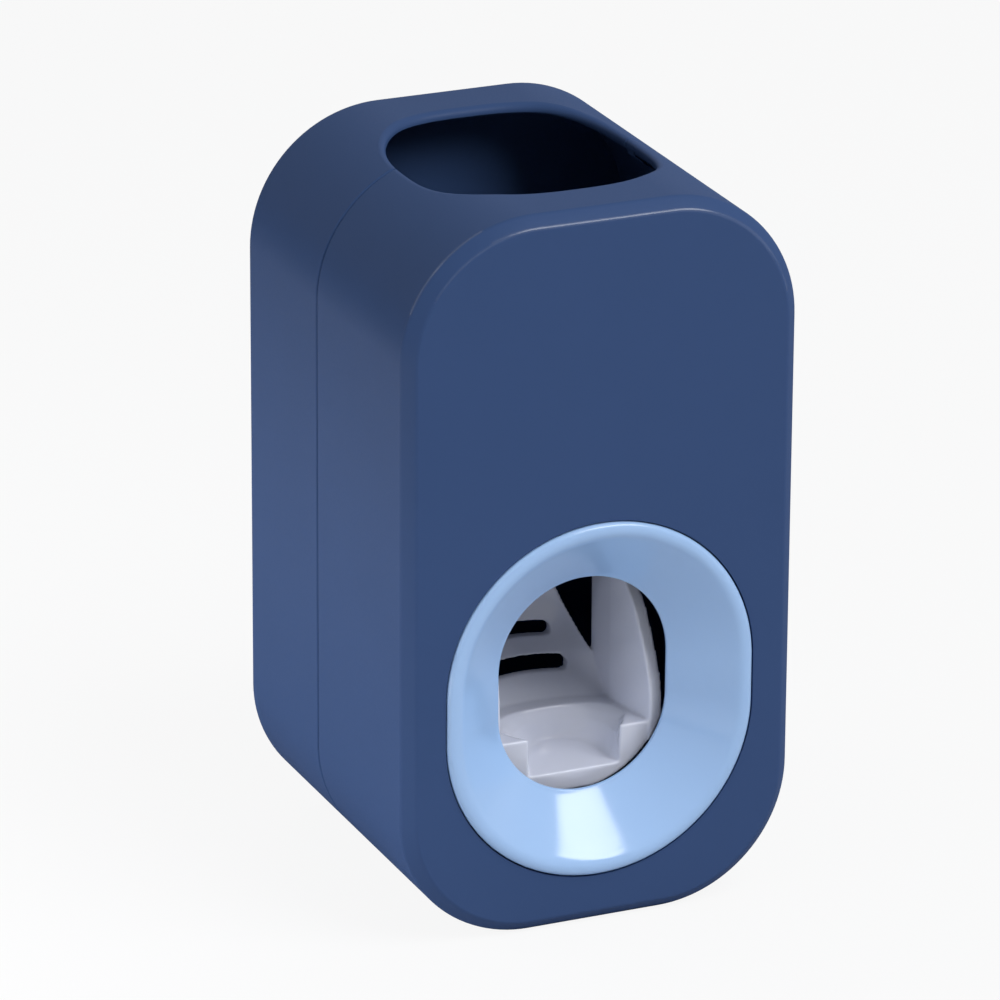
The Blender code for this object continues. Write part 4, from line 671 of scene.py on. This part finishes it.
right_wall = side_wall()
left_wall = mirrored(right_wall)
lever = as_object("push_lever_moulding", right_wall)
combine(lever, "UNION", cradle_block(), left_wall, tongue())
port_low_z, past_wall, below = ring_z - port_straight, belly_radius + overrun, 10 * mm
belly_back, slots_back = lip_y + 30 * mm, lip_y + 28 * mm
belly = arc(0, port_low_z, belly_radius, 180, 360, 48)
belly += [(past_wall, port_low_z), (past_wall, below), (-past_wall, below), (-past_wall, port_low_z)]
combine(lever, "DIFFERENCE", pocket_cutter(), prism(belly, "Y", lip_y - overrun, belly_back))
for z in slot_places:
    taper = max(0, z - tip_z) / (tongue_top - tip_z)
    straight = arm_inner + (tongue_top_half - arm_inner) * taper - slot_edge - slot_end
    outline = arc(straight, z, slot_end, -90, 90, 12) + arc(-straight, z, slot_end, 90, 270, 12)
    combine(lever, "DIFFERENCE", prism(outline, "Y", lip_y + pocket_length, slots_back))
soften(lever, 0.246 * mm, 4)
dress(lever, cradle_abs, "lever", "cradle", "push_lever")


# Return spring
# Compression spring of round stainless wire between the crosshead's rim and the frame, wound with
# closed ends; the real spring shortens as the piston rises. The coil is a spiral made by Geometry Nodes.

def steel(name, colour, roughness):
    """Stainless steel with fine scratches that scatter its reflection."""
    # Real scratches are some 0.02 mm apart, too fine to show, so they are drawn 0.4 mm apart
    scratch = 0.4 * mm
    material, tree = new_material(name)
    where = add(tree, "ShaderNodeTexCoord").outputs["Object"]
    scratches = add(tree, "ShaderNodeTexNoise", {"Vector": where, "Scale": 1 / scratch, "Detail": 2.0})
    dull = add(tree, "ShaderNodeMapRange", {
        "Value": scratches, "From Min": 0.3, "From Max": 0.7,
        "To Min": roughness - 0.05, "To Max": roughness + 0.08})
    relief = add(tree, "ShaderNodeBump", {"Height": scratches, "Strength": 1.0, "Distance": 0.003 * mm})
    body = add(tree, "ShaderNodeBsdfPrincipled", {
        "Base Color": linear(colour), "Metallic": 1.0, "Roughness": dull, "Normal": relief})
    add(tree, "ShaderNodeOutputMaterial", {"Surface": body})
    return material


def geometry_tree(name, sockets):
    """A Geometry Nodes tree with geometry in and out and named inputs; also gives those inputs."""
    tree = bpy.data.node_groups.new(name, "GeometryNodeTree")
    for socket, kind in [("Geometry", "Geometry")] + sockets:
        tree.interface.new_socket(socket, in_out="INPUT", socket_type=f"NodeSocket{kind}")
    tree.interface.new_socket("Geometry", in_out="OUTPUT", socket_type="NodeSocketGeometry")
    return tree, tree.nodes.new("NodeGroupInput").outputs


def close_tree(tree, geometry, material):
    """End a tree with real geometry, because the export drops instances, and its material."""
    real = add(tree, "GeometryNodeRealizeInstances", {"Geometry": geometry})
    coated = add(tree, "GeometryNodeSetMaterial", {"Geometry": real, "Material": material})
    add(tree, "NodeGroupOutput", {"Geometry": coated})


def grown(name, tree, values, places=()):
    """An object whose mesh a node tree makes from the given sizes and places."""
    mesh = bpy.data.meshes.new(name)
    mesh.from_pydata(places, [], [])
    thing = place(name, mesh)
    maker = thing.modifiers.new("maker", "NODES")
    maker.node_group = tree
    for item in tree.interface.items_tree:
        if item.item_type == "SOCKET" and item.in_out == "INPUT" and item.name in values:
            maker[item.identifier] = values[item.name]
    settle(thing)
    return thing


# Wire drawn through a die is the brightest of the three steels: each coil shows one clear line of light
drawn_wire = steel("drawn_stainless_wire", "#C9C8C6", 0.24)

numbers = ("Turns", "Coil Radius", "Foot", "Length", "Wire Radius", "Middle Y")
sockets = [(name, "Float") for name in numbers] + [("Material", "Material")]
winding, given = geometry_tree("wound_wire", sockets)
spiral = add(winding, "GeometryNodeCurveSpiral", {
    "Resolution": 48, "Rotations": given["Turns"], "Start Radius": given["Coil Radius"],
    "End Radius": given["Coil Radius"], "Height": 0.0})
along = add(winding, "GeometryNodeSplineParameter")
end_rise = add(winding, "ShaderNodeMath", {0: given["Wire Radius"], 1: 2.1}, operation="MULTIPLY")
both_ends = add(winding, "ShaderNodeMath", {0: end_rise, 1: 2.0}, operation="MULTIPLY")
open_rise = add(winding, "ShaderNodeMath", {0: given["Length"], 1: both_ends}, operation="SUBTRACT")
height_now = given["Foot"]
# Of the 6.5 turns one at each end is wound closed, and those between share the rest of the length
for start, end, climb in ((0.0, 0.154, end_rise), (0.154, 0.846, open_rise), (0.846, 1.0, end_rise)):
    part = add(winding, "ShaderNodeMapRange", {
        "Value": along, "From Min": start, "From Max": end, "To Min": 0.0, "To Max": climb})
    height_now = add(winding, "ShaderNodeMath", {0: height_now, 1: part})
lift = add(winding, "ShaderNodeCombineXYZ", {"Y": given["Middle Y"], "Z": height_now})
placed = add(winding, "GeometryNodeSetPosition", {"Geometry": spiral, "Offset": lift})
wire_round = add(winding, "GeometryNodeCurvePrimitiveCircle",
                 {"Resolution": 14, "Radius": given["Wire Radius"]})
swept = add(winding, "GeometryNodeCurveToMesh",
            {"Curve": placed, "Profile Curve": wire_round, "Fill Caps": True})
close_tree(winding, swept, given["Material"])

spring_low, spring_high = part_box("return_spring")
wire, spring_top = 0.45 * mm, 60.3 * mm
spring = grown("return_spring_coil", winding, {
    "Turns": 6.5, "Coil Radius": (spring_high.x - spring_low.x) / 2 - wire, "Foot": spring_low.z + wire,
    "Length": spring_high.z - spring_low.z - 2 * wire, "Wire Radius": wire, "Middle Y": pump_y,
    "Material": drawn_wire})
spring.data.shade_smooth()
dress(spring, drawn_wire, "housing", "steel", "return_spring")
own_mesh(spring)


# Pivot pin and its retaining rings
# Ground stainless pin through the frame's cheeks and the lever's arms, with a groove near each end
# for a stamped steel retaining ring that snaps on from below.

def rounded(profile, radius, steps=4):
    """A closed profile with its corners rounded, apart from those on the axis."""
    line = []
    for i, point in enumerate(profile):
        here, before = Vector(point), Vector(profile[i - 1])
        after = Vector(profile[(i + 1) % len(profile)])
        reach = min(radius, (here - before).length * 0.45, (after - here).length * 0.45)
        if point[0] == 0:
            line.append(point)
            continue
        start = here + (before - here).normalized() * reach
        end = here + (after - here).normalized() * reach
        for k in range(steps + 1):
            t = k / steps
            line.append(tuple(start * (1 - t) ** 2 + here * 2 * t * (1 - t) + end * t * t))
    return line


def stepped(*sizes):
    """A closed profile of straight steps, from a radius, a height, the next radius and so on."""
    radii, heights = sizes[::2], sizes[1::2]
    return [(radius, z) for i, z in enumerate(heights) for radius in (radii[i], radii[(i + 1) % len(radii)])]


def turned(profile, centre, axis, steps, ribs=0, depth=0):
    """Turn a closed profile of radius and height about an axis; ribs wave its widest radius."""
    widest, reach = max(radius for radius, along in profile), 0.05 * mm
    loops = []
    for radius, along in profile:
        loop = []
        for i in range(steps):
            a = math.tau * i / steps
            r = radius - (depth * (0.5 + 0.5 * math.cos(ribs * a)) if radius > widest - reach else 0)
            u, v = centre[0] + r * math.cos(a), centre[1] + r * math.sin(a)
            loop.append({"X": (along, u, v), "Y": (u, along, v), "Z": (u, v, along)}[axis])
        loops.append(loop)
    return skin(loops, closed=True)


def whole_piece(name, shape, material, body, slot, node, angle=35):
    """A piece from one shape: made, smoothed and dressed."""
    thing = as_object(name, shape)
    smooth(thing, angle)
    dress(thing, material, body, slot, node)


# Turned and ground steel mirrors its surroundings in a softer band than the wire does
turned_steel = steel("turned_stainless_steel", "#C6C6C5", 0.26)
clip_in, clip_out = (end.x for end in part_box("pivot_clip_right"))
groove_in, groove_out, core = clip_in - 0.05 * mm, clip_out + 0.05 * mm, 1.15 * mm
profile = stepped(0, -pin_high.x, pin_radius, -groove_out, core, -groove_in,
                  pin_radius, groove_in, core, groove_out, pin_radius, pin_high.x)
whole_piece("ground_pivot_pin", turned(rounded(profile, 0.2 * mm), (pivot_y, pivot_z), "X", 48),
            turned_steel, "housing", "steel", "pivot_pin")

# Stamped spring steel is the darkest and dullest of the three, so the rings stand out against the pin
stamped_steel = steel("stamped_spring_steel", "#B4B4B3", 0.34)
clip_radius, lobe_radius, relief_radius, clip_edge = 2.9 * mm, 1.3 * mm, 2 * mm, 0.06 * mm
inner_line = []
for degrees in range(236, -60, -4):
    lobe = abs(degrees - 90) < 18 or degrees > 218 or degrees < -38
    inner_line += arc(pivot_y, pivot_z, lobe_radius if lobe else relief_radius, degrees, degrees, 1)[:1]
clip_outline = arc(pivot_y, pivot_z, clip_radius, -60, 240, 60) + inner_line
for side, name in ((-1, "left"), (1, "right")):
    ends = sorted((side * clip_in, side * clip_out))
    clip = as_object(f"retaining_ring_{name}", prism(clip_outline, "X", *ends))
    edge = clip.modifiers.new("edge", "BEVEL")
    edge.width, edge.segments, edge.angle_limit = clip_edge, 2, math.radians(50)
    settle(clip)
    smooth(clip, 40)
    dress(clip, stamped_steel, "housing", "steel", f"pivot_clip_{name}")


# Pump cylinder
# Barrel of frosted polypropylene that hangs through the frame by its flange, with a lead-in at its foot
# for the piston's seal.

# Frosted polypropylene is cool and milky, with a wide, weak highlight
frosted_pp = moulded("frosted_polypropylene", "#C9D3DB", "#D1DAE0", 0.3, 0.8 * mm, 0.003 * mm)
bore, barrel_out, flange_out, lead_wide, lead_high = 5.2 * mm, 6.2 * mm, 8.4 * mm, 0.4 * mm, 1 * mm
barrel_foot, barrel_top, flange_z = barrel_low.z, barrel_high.z, barrel_high.z - 1.5 * mm
profile = [(bore + lead_wide, barrel_foot), (barrel_out, barrel_foot), (barrel_out, flange_z),
           (flange_out, flange_z), (flange_out, barrel_top), (bore, barrel_top),
           (bore, barrel_foot + lead_high)]
whole_piece("pump_barrel", turned(rounded(profile, 0.25 * mm), (0, pump_y), "Z", 96),
            frosted_pp, "housing", "barrel", "pump_cylinder")


# Cylinder gasket and piston seal
# Satin silicone rings cut and moulded white: a flat gasket between the barrel's flange and the manifold,
# and a ring with two lips in the piston's groove.

# Silicone is off white and faintly grained, so it looks softer than the plastic beside it
silicone = moulded("satin_white_silicone", "#CDD2D2", "#D6DAD9", 0.42, 0.6 * mm, 0.004 * mm)
gasket_low, gasket_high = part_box("cylinder_gasket")
gasket_in, gasket_out = 5.6 * mm, 8 * mm
profile = stepped(gasket_in, gasket_low.z, gasket_out, gasket_high.z)
whole_piece("flat_gasket", turned(rounded(profile, 0.2 * mm), (0, pump_y), "Z", 96),
            silicone, "housing", "silicone", "cylinder_gasket")
low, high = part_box("piston_seal")
seal_in, seal_out, seal_waist = high.x - 0.8 * mm, high.x, high.x - 0.25 * mm
seal_lip, middle = 0.5 * mm, (low.z + high.z) / 2
profile = [(seal_in, low.z), (seal_out, low.z), (seal_out, low.z + seal_lip), (seal_waist, middle),
           (seal_out, high.z - seal_lip), (seal_out, high.z), (seal_in, high.z)]
whole_piece("piston_lip_seal", turned(rounded(profile, 0.2 * mm), (0, pump_y), "Z", 72),
            silicone, "plunger", "silicone", "piston_seal")


# Piston
# White ABS piston on a stem: a head with a groove for its seal, and a foot that stands in the
# crosshead's socket.

# Moulded from a finely blasted tool, it is a plain white with a broad satin sheen
white_abs = moulded("satin_white_ABS", "#D4D6D6", "#DADCDB", 0.38, 0.5 * mm, 0.004 * mm)
low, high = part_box("piston")
head_radius, stem_radius, head_foot = high.x, 2.4 * mm, high.z - 4 * mm
groove_low, groove_high, groove_radius = head_foot + 1 * mm, high.z - 1 * mm, head_radius - 1.1 * mm
profile = stepped(0, low.z, stem_radius, head_foot, head_radius, groove_low, groove_radius, groove_high,
                  head_radius, high.z)
whole_piece("pump_piston", turned(rounded(profile, 0.22 * mm), (0, pump_y), "Z", 72),
            white_abs, "plunger", "inner_plastic", "piston")


# Crosshead
# Cup in the lever's grey ABS that rises round the barrel: a socket for the piston's stem inside, a rim
# that carries the spring, and a trunnion on each side that runs in the lever's slots.

low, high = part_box("crosshead")
cup_in, cup_out, cup_floor = 6.5 * mm, high.y - pump_y, low.z + 2 * mm
socket_in, socket_out, socket_top = 2.7 * mm, 4.1 * mm, cup_floor + 3.5 * mm
profile = stepped(0, low.z, cup_out, high.z, cup_in, cup_floor, socket_out, socket_top, socket_in, cup_floor)
cup = as_object("crosshead_cup", turned(rounded(profile, 0.3 * mm), (0, pump_y), "Z", 96))
root, land, root_radius = cup_in + 0.8 * mm, arm_inner - 0.5 * mm, 2 * mm
trunnion = stepped(0, root, root_radius, land, pin_radius, high.x)
for side in (-1, 1):
    peg = rounded([(radius, side * x) for radius, x in trunnion], 0.2 * mm)
    combine(cup, "UNION", turned(peg, (pump_y, crank_z), "X", 48))
smooth(cup)
dress(cup, cradle_abs, "plunger", "cradle", "crosshead")


# Pump frame
# Bracket in white ABS: a top plate with the barrel's hole, two cheeks that carry the pivot, two ears
# screwed to the rear shell, and four posts for the manifold.

nozzle_y, seat_y = face_y + 18.3 * mm, face_y + 29.9 * mm
lug_x, lug_front = 12.3 * mm, face_y + 24.3 * mm
lugs = [(x, y) for x in (-lug_x, lug_x) for y in (lug_front, pump_y)]
frame_foot, plate_top, manifold_foot = 60.6 * mm, 62.6 * mm, gasket_high.z + gap
cheek_in, cheek_out, cheek_boss, cheek_web = 12.8 * mm, 15 * mm, 5.2 * mm, 6 * mm
ear_in, ear_out, ear_margin = 13.9 * mm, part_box("pump_frame")[1].x, 4.6 * mm
front_end, post_radius, post_hole, post_root = nozzle_y - 7 * mm, 2.5 * mm, 1.3 * mm, plate_top - 1 * mm
plate_back, frame_corner, spout_hole, pin_reach = pump_y + 8.5 * mm, 3 * mm, 3.7 * mm, 20 * mm

plate = rounded_rectangle(-cheek_out, cheek_out, front_end, plate_back, frame_corner, 12)
bracket = as_object("pump_bracket", prism(plate, "Z", frame_foot, plate_top))
ear_bottom = fixing_low_z - ear_margin
cheek = [(pivot_y - cheek_boss, plate_top), (pivot_y - cheek_boss, pivot_z)]
cheek += arc(pivot_y, pivot_z, cheek_boss, 180, 315, 32)[1:]
cheek += [(ear_y - cheek_web, fixing_low_z + ear_margin), (ear_y, ear_bottom), (ear_back, ear_bottom),
          (ear_back, plate_top)]
ear = rounded_rectangle(ear_in, ear_out, ear_bottom, fixing_high_z + ear_margin, frame_corner, 12)
for shape in (prism(cheek, "X", cheek_in, cheek_out), prism(ear, "Y", ear_y, ear_back)):
    combine(bracket, "UNION", mirrored(shape), shape)
for spot in lugs:
    combine(bracket, "UNION", rod(spot, "Z", post_radius, post_root, manifold_foot - gap))
low, high = frame_foot - 2.6 * mm, plate_top + 7.4 * mm
holes = [rod((0, pump_y), "Z", barrel_out + gap, low, high, 96)]
holes += [rod((0, nozzle_y), "Z", spout_hole, low, high)]
holes += [rod(spot, "Z", post_hole, low, high, 24) for spot in lugs]
holes += [rod(spot, "Y", pilot_radius, ear_y - overrun, ear_back + overrun, 24) for spot in fixings]
holes.append(rod((pivot_y, pivot_z), "X", pin_radius + gap, -pin_reach, pin_reach, 32))
combine(bracket, "DIFFERENCE", *holes)
soften(bracket, 0.32 * mm, 3)
dress(bracket, white_abs, "housing", "inner_plastic", "pump_frame")


# Pump manifold
# White ABS block that bolts down over the barrel: a duct from the barrel to the spout in front, a disc
# and a chamber for the inlet's flap above, and four lugs for its screws.

block_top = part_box("pump_manifold")[1].z
duct_z, duct_radius, passage_radius, spout_radius = manifold_foot + 3.9 * mm, 2.2 * mm, 1.9 * mm, 3.4 * mm
spout_length, spout_root = 9 * mm, manifold_foot + 1 * mm
lug_half, lug_radius, lug_root, lug_top = 2.5 * mm, 3 * mm, 8.5 * mm, manifold_foot + 3 * mm
block_half, block_back, block_corner = 9.5 * mm, pump_y + 8.4 * mm, 7 * mm
disc_radius, disc_depth, chamber_radius, chamber_depth = 12.5 * mm, 3 * mm, 5.3 * mm, 1.8 * mm

outline = rounded_rectangle(-block_half, block_half, front_end, block_back, block_corner, 20)
block = as_object("manifold_block", prism(outline, "Z", manifold_foot, block_top))
combine(block, "UNION", rod((0, seat_y), "Z", disc_radius, block_top - disc_depth, block_top - gap, 96),
        rod((0, nozzle_y), "Z", spout_radius, manifold_foot - spout_length, spout_root))
for x, y in lugs:
    near, far = sorted((math.copysign(lug_root, x), x))
    arm = [(near, y - lug_half), (far, y - lug_half), (far, y + lug_half), (near, y + lug_half)]
    combine(block, "UNION", prism(arm, "Z", manifold_foot + gap, lug_top - gap),
            rod((x, y), "Z", lug_radius, manifold_foot, lug_top))
combine(block, "DIFFERENCE", rod((0, duct_z), "Y", duct_radius, front_end - overrun, pump_y + duct_radius),
        rod((0, pump_y), "Z", passage_radius, manifold_foot - overrun, duct_z),
        rod((0, seat_y), "Z", passage_radius, duct_z, block_top + overrun),
        rod((0, seat_y), "Z", chamber_radius, block_top - chamber_depth, block_top + overrun, 72),
        rod((0, nozzle_y), "Z", passage_radius, manifold_foot - spout_length - overrun, duct_z),
        *[rod(spot, "Z", post_hole, manifold_foot - overrun, lug_top + overrun, 24) for spot in lugs])
soften(block, 0.3 * mm, 3)
dress(block, white_abs, "housing", "inner_plastic", "pump_manifold")


# Duct plug, inlet collar and nozzle collar
# Small turned shapes in white ABS: the plug presses into the duct's open end, the ribbed collar holds
# the seat's flange down, and the ribbed nozzle collar screws over the spout.

edge_round = 0.25 * mm
low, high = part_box("duct_plug")
plug_head, plug_under = 3.2 * mm, low.y + 0.8 * mm
profile = stepped(0, low.y, plug_head, plug_under, passage_radius, high.y)
whole_piece("duct_end_plug", turned(rounded(profile, edge_round), (0, duct_z), "Y", 48),
            white_abs, "housing", "inner_plastic", "duct_plug")
low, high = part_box("inlet_collar")
collar_in, collar_out, chamfer, under = 10.7 * mm, high.x, 0.7 * mm, high.z - 2 * mm
funnel_foot, funnel_spread, funnel_rise, clear = 7 * mm, 2.4 * mm, 8.6 * mm, 0.6 * mm
lip_in = funnel_foot + funnel_spread * (high.z - low.z) / funnel_rise + clear
profile = [(collar_in, low.z), (collar_out, low.z), (collar_out, high.z - chamfer),
           (collar_out - chamfer, high.z), (lip_in, high.z), (lip_in, under), (collar_in, under)]
whole_piece("inlet_clamp_collar", turned(rounded(profile, edge_round), (0, seat_y), "Z", 360, 45, 0.3 * mm),
            white_abs, "housing", "inner_plastic", "inlet_collar", 50)
low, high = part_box("nozzle_collar")
cap_hole, cap_in, cap_out, chamfer, cap_floor = 3.1 * mm, 3.7 * mm, high.x, 0.4 * mm, low.z + 2 * mm
profile = [(cap_hole, low.z), (cap_out - chamfer, low.z), (cap_out, low.z + chamfer), (cap_out, high.z),
           (cap_in, high.z), (cap_in, cap_floor), (cap_hole, cap_floor)]
whole_piece("nozzle_cap", turned(rounded(profile, edge_round), (0, nozzle_y), "Z", 216, 27, 0.25 * mm),
            white_abs, "housing", "inner_plastic", "nozzle_collar", 50)


# Inlet seat, inlet flap and outlet valve
# The same white silicone, moulded: a funnel with a flange for the tube's neck, a disc that closes the
# inlet, and a duckbill that closes to a flat lip under the spout.

low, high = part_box("inlet_seat")
flange_top, rim_top, neck_radius, flange_radius = low.z + 1.5 * mm, high.z, 5 * mm, 10.4 * mm
funnel_root, rim_out, rim_in, throat_top = 7.3 * mm, 9.4 * mm, 7.4 * mm, flange_top + 1.5 * mm
profile = [(neck_radius, low.z), (flange_radius, low.z), (flange_radius, flange_top),
           (funnel_root, flange_top), (rim_out, rim_top), (rim_in, rim_top), (neck_radius, throat_top)]
whole_piece("inlet_funnel", turned(rounded(profile, 0.4 * mm, 6), (0, seat_y), "Z", 96),
            silicone, "housing", "silicone", "inlet_seat")
low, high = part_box("inlet_flap")
profile = stepped(0, low.z, neck_radius, high.z)
whole_piece("inlet_flap_disc", turned(rounded(profile, edge_round), (0, seat_y), "Z", 72),
            silicone, "housing", "silicone", "inlet_flap")
valve_tip, valve_top = (end.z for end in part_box("outlet_valve"))
valve_out, tube_out, tube_in, taper, slit_out, slit_in = 3.4, 2.8, 1.9, 3.4 * mm, 0.55, 0.27
flange_foot, tube_head = valve_top - 1 * mm, valve_top - 1.1 * mm
# Half width and half depth in mm, and height: the flange, then down the outside to the lip and up the inside
stations = [(valve_out, valve_out, valve_top), (valve_out, valve_out, flange_foot),
            (tube_out, tube_out, tube_head)]
stations += [(tube_out, tube_out - (tube_out - slit_out) * (i / 12) ** 1.3, valve_tip + taper * (1 - i / 12))
             for i in range(13)]
stations += [(tube_in, slit_in + (tube_in - slit_in) * (i / 8) ** 0.8, valve_tip + taper * i / 8)
             for i in range(9)]
stations.append((tube_in, tube_in, valve_top))
turns = [math.tau * i / 64 for i in range(64)]
duckbill = skin([[(a * mm * math.cos(t), nozzle_y + b * mm * math.sin(t), z) for t in turns]
                 for a, b, z in stations], closed=True)
whole_piece("outlet_duckbill", duckbill, silicone, "housing", "silicone", "outlet_valve", 45)


# Frame screws and manifold screws
# Stainless self-tapping screws with slotted pan heads, four of each, cold headed and thread rolled.
# Geometry Nodes winds the thread, places the screws and turns each slot its own way.

screwing, given = geometry_tree("driven_screws", [
    ("Body", "Object"), ("Thread Radius", "Float"), ("Thread Length", "Float"), ("Thread Turns", "Float"),
    ("Ridge", "Float"), ("Heading", "Vector"), ("Seed", "Int"), ("Material", "Material")])
body = add(screwing, "GeometryNodeObjectInfo", {"Object": given["Body"]})
thread = add(screwing, "GeometryNodeCurveSpiral", {
    "Resolution": 24, "Rotations": given["Thread Turns"], "Start Radius": given["Thread Radius"],
    "End Radius": given["Thread Radius"], "Height": given["Thread Length"]})
foot = add(screwing, "ShaderNodeCombineXYZ", {"Z": given["Thread Length"]})
sunk = add(screwing, "ShaderNodeVectorMath", {0: foot, "Scale": -1.25}, operation="SCALE")
placed = add(screwing, "GeometryNodeSetPosition", {"Geometry": thread, "Offset": sunk})
ridge = add(screwing, "GeometryNodeCurvePrimitiveCircle", {"Resolution": 6, "Radius": given["Ridge"]})
swept = add(screwing, "GeometryNodeCurveToMesh", {
    "Curve": placed, "Profile Curve": ridge, "Fill Caps": True})
whole = screwing.nodes.new("GeometryNodeJoinGeometry")
screwing.links.new(body.outputs["Geometry"], whole.inputs[0])
screwing.links.new(swept.outputs[0], whole.inputs[0])
stood = add(screwing, "GeometryNodeInstanceOnPoints", {
    "Points": given["Geometry"], "Instance": whole, "Rotation": given["Heading"]})
chance = add(screwing, "FunctionNodeRandomValue", {3: math.pi, "Seed": given["Seed"]}, data_type="FLOAT")
own_turn = add(screwing, "ShaderNodeCombineXYZ", {"Z": chance.outputs[1]})
twisted = add(screwing, "GeometryNodeRotateInstances", {
    "Instances": stood, "Rotation": own_turn, "Local Space": True})
close_tree(screwing, twisted, given["Material"])

slot_half, slot_depth, slot_reach, seated = 0.27 * mm, 0.7 * mm, 3 * mm, 0.06 * mm
thread_turns, thread_share, ridge_radius = 6.0, 0.72, 0.19 * mm
thread_sunk, thread_proud = 0.2 * mm, 0.02 * mm
screw_sets = [
    # name, places, heading, and in mm: shank's radius, head's radius, head's height, length
    ("frame_screw", [(x, ear_y - seated, z) for x, z in fixings], (math.pi / 2, 0, 0), 1.2, 2.7, 1.7, 6.9),
    ("manifold_screw", [(x, y, lug_top + seated) for x, y in lugs], (0, 0, 0), 1.0, 2.2, 1.5, 6.9),
]
for seed, (name, places, heading, *sizes) in enumerate(screw_sets, 3):
    shank, head, head_height, length = (size * mm for size in sizes)
    core = shank - thread_sunk
    crown = [(head * math.cos(a), head_height * (0.35 + 0.65 * math.sin(a)))
             for a in (math.radians(10 * i) for i in range(9))]
    profile = [(0, -length), (core * 0.3, -length), (core, 2 * core - length), (core, 0), (head, 0)]
    profile += crown + [(0, head_height)]
    body = as_object("screw_body", turned(profile, (0, 0), "Z", 40))
    slot = [(u * slot_reach, v * slot_half) for u, v in ((-1, -1), (1, -1), (1, 1), (-1, 1))]
    combine(body, "DIFFERENCE", prism(slot, "Z", head_height - slot_depth, head_height + overrun))
    smooth(body)
    screws = grown(f"{name}s_driven", screwing, {
        "Body": body, "Thread Radius": core + thread_proud,
        "Thread Length": (length - 2 * core) * thread_share, "Thread Turns": thread_turns,
        "Ridge": ridge_radius, "Heading": heading, "Seed": seed, "Material": turned_steel}, places)
    bpy.data.objects.remove(body)
    dress(screws, turned_steel, "housing", "steel", *[f"{name}_{i}" for i in range(1, 5)])


# Wall plate
# White ABS plate that the pad holds to the wall. Two headed studs are moulded on its front, and hang in
# the rear shell's keyholes.

def slab(low, high, near, radius, edge):
    """A flat plate with round corners and round edges that fills a box behind one depth."""
    loops = []
    for inset, y in round_edge(edge, near, True, 5) + round_edge(edge, high.y, False, 5):
        sides = inset - high.x, high.x - inset, low.z + inset, high.z - inset
        loops.append([(x, y, z) for x, z in rounded_rectangle(*sides, radius - inset, 16)])
    return skin(loops)


plate_near, stud_root, stud_neck, stud_head = plate_high.y - 2 * mm, plate_high.y - 1 * mm, 1.9 * mm, 3.9 * mm
stud_face, head_side, head_back = plate_low.y, plate_low.y + 0.75 * mm, plate_low.y + 1.5 * mm
plate_corner, plate_edge, stud_tip = 7 * mm, 0.5 * mm, 3.3 * mm
hanger = as_object("hanger_plate", slab(plate_low, plate_high, plate_near, plate_corner, plate_edge))
stud = [(0, stud_face), (stud_tip, stud_face), (stud_head, head_side), (stud_head, head_back),
        (stud_neck, head_back), (stud_neck, stud_root), (0, stud_root)]
for x in (-stud_x, stud_x):
    combine(hanger, "UNION", turned(rounded(stud, edge_round), (x, stud_z), "Y", 48))
smooth(hanger)
dress(hanger, white_abs, "hanger", "inner_plastic", "wall_plate")


# Adhesive pad
# Closed-cell foam tape, die cut a little smaller than the plate and stuck to its back. Its other face
# holds to the wall.

# Cells of 0.35 mm, coarser than real ones so that they show, break up all shine and leave a dry warm white
foam = moulded("white_foam_tape", "#DCDAD4", "#E6E4DE", 0.9, 0.35 * mm, 0.06 * mm, level=0.2)
low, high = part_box("adhesive_pad")
pad_corner, pad_edge = 5 * mm, 0.2 * mm
whole_piece("foam_pad", slab(low, high, low.y, pad_corner, pad_edge), foam, "hanger", "foam", "adhesive_pad")
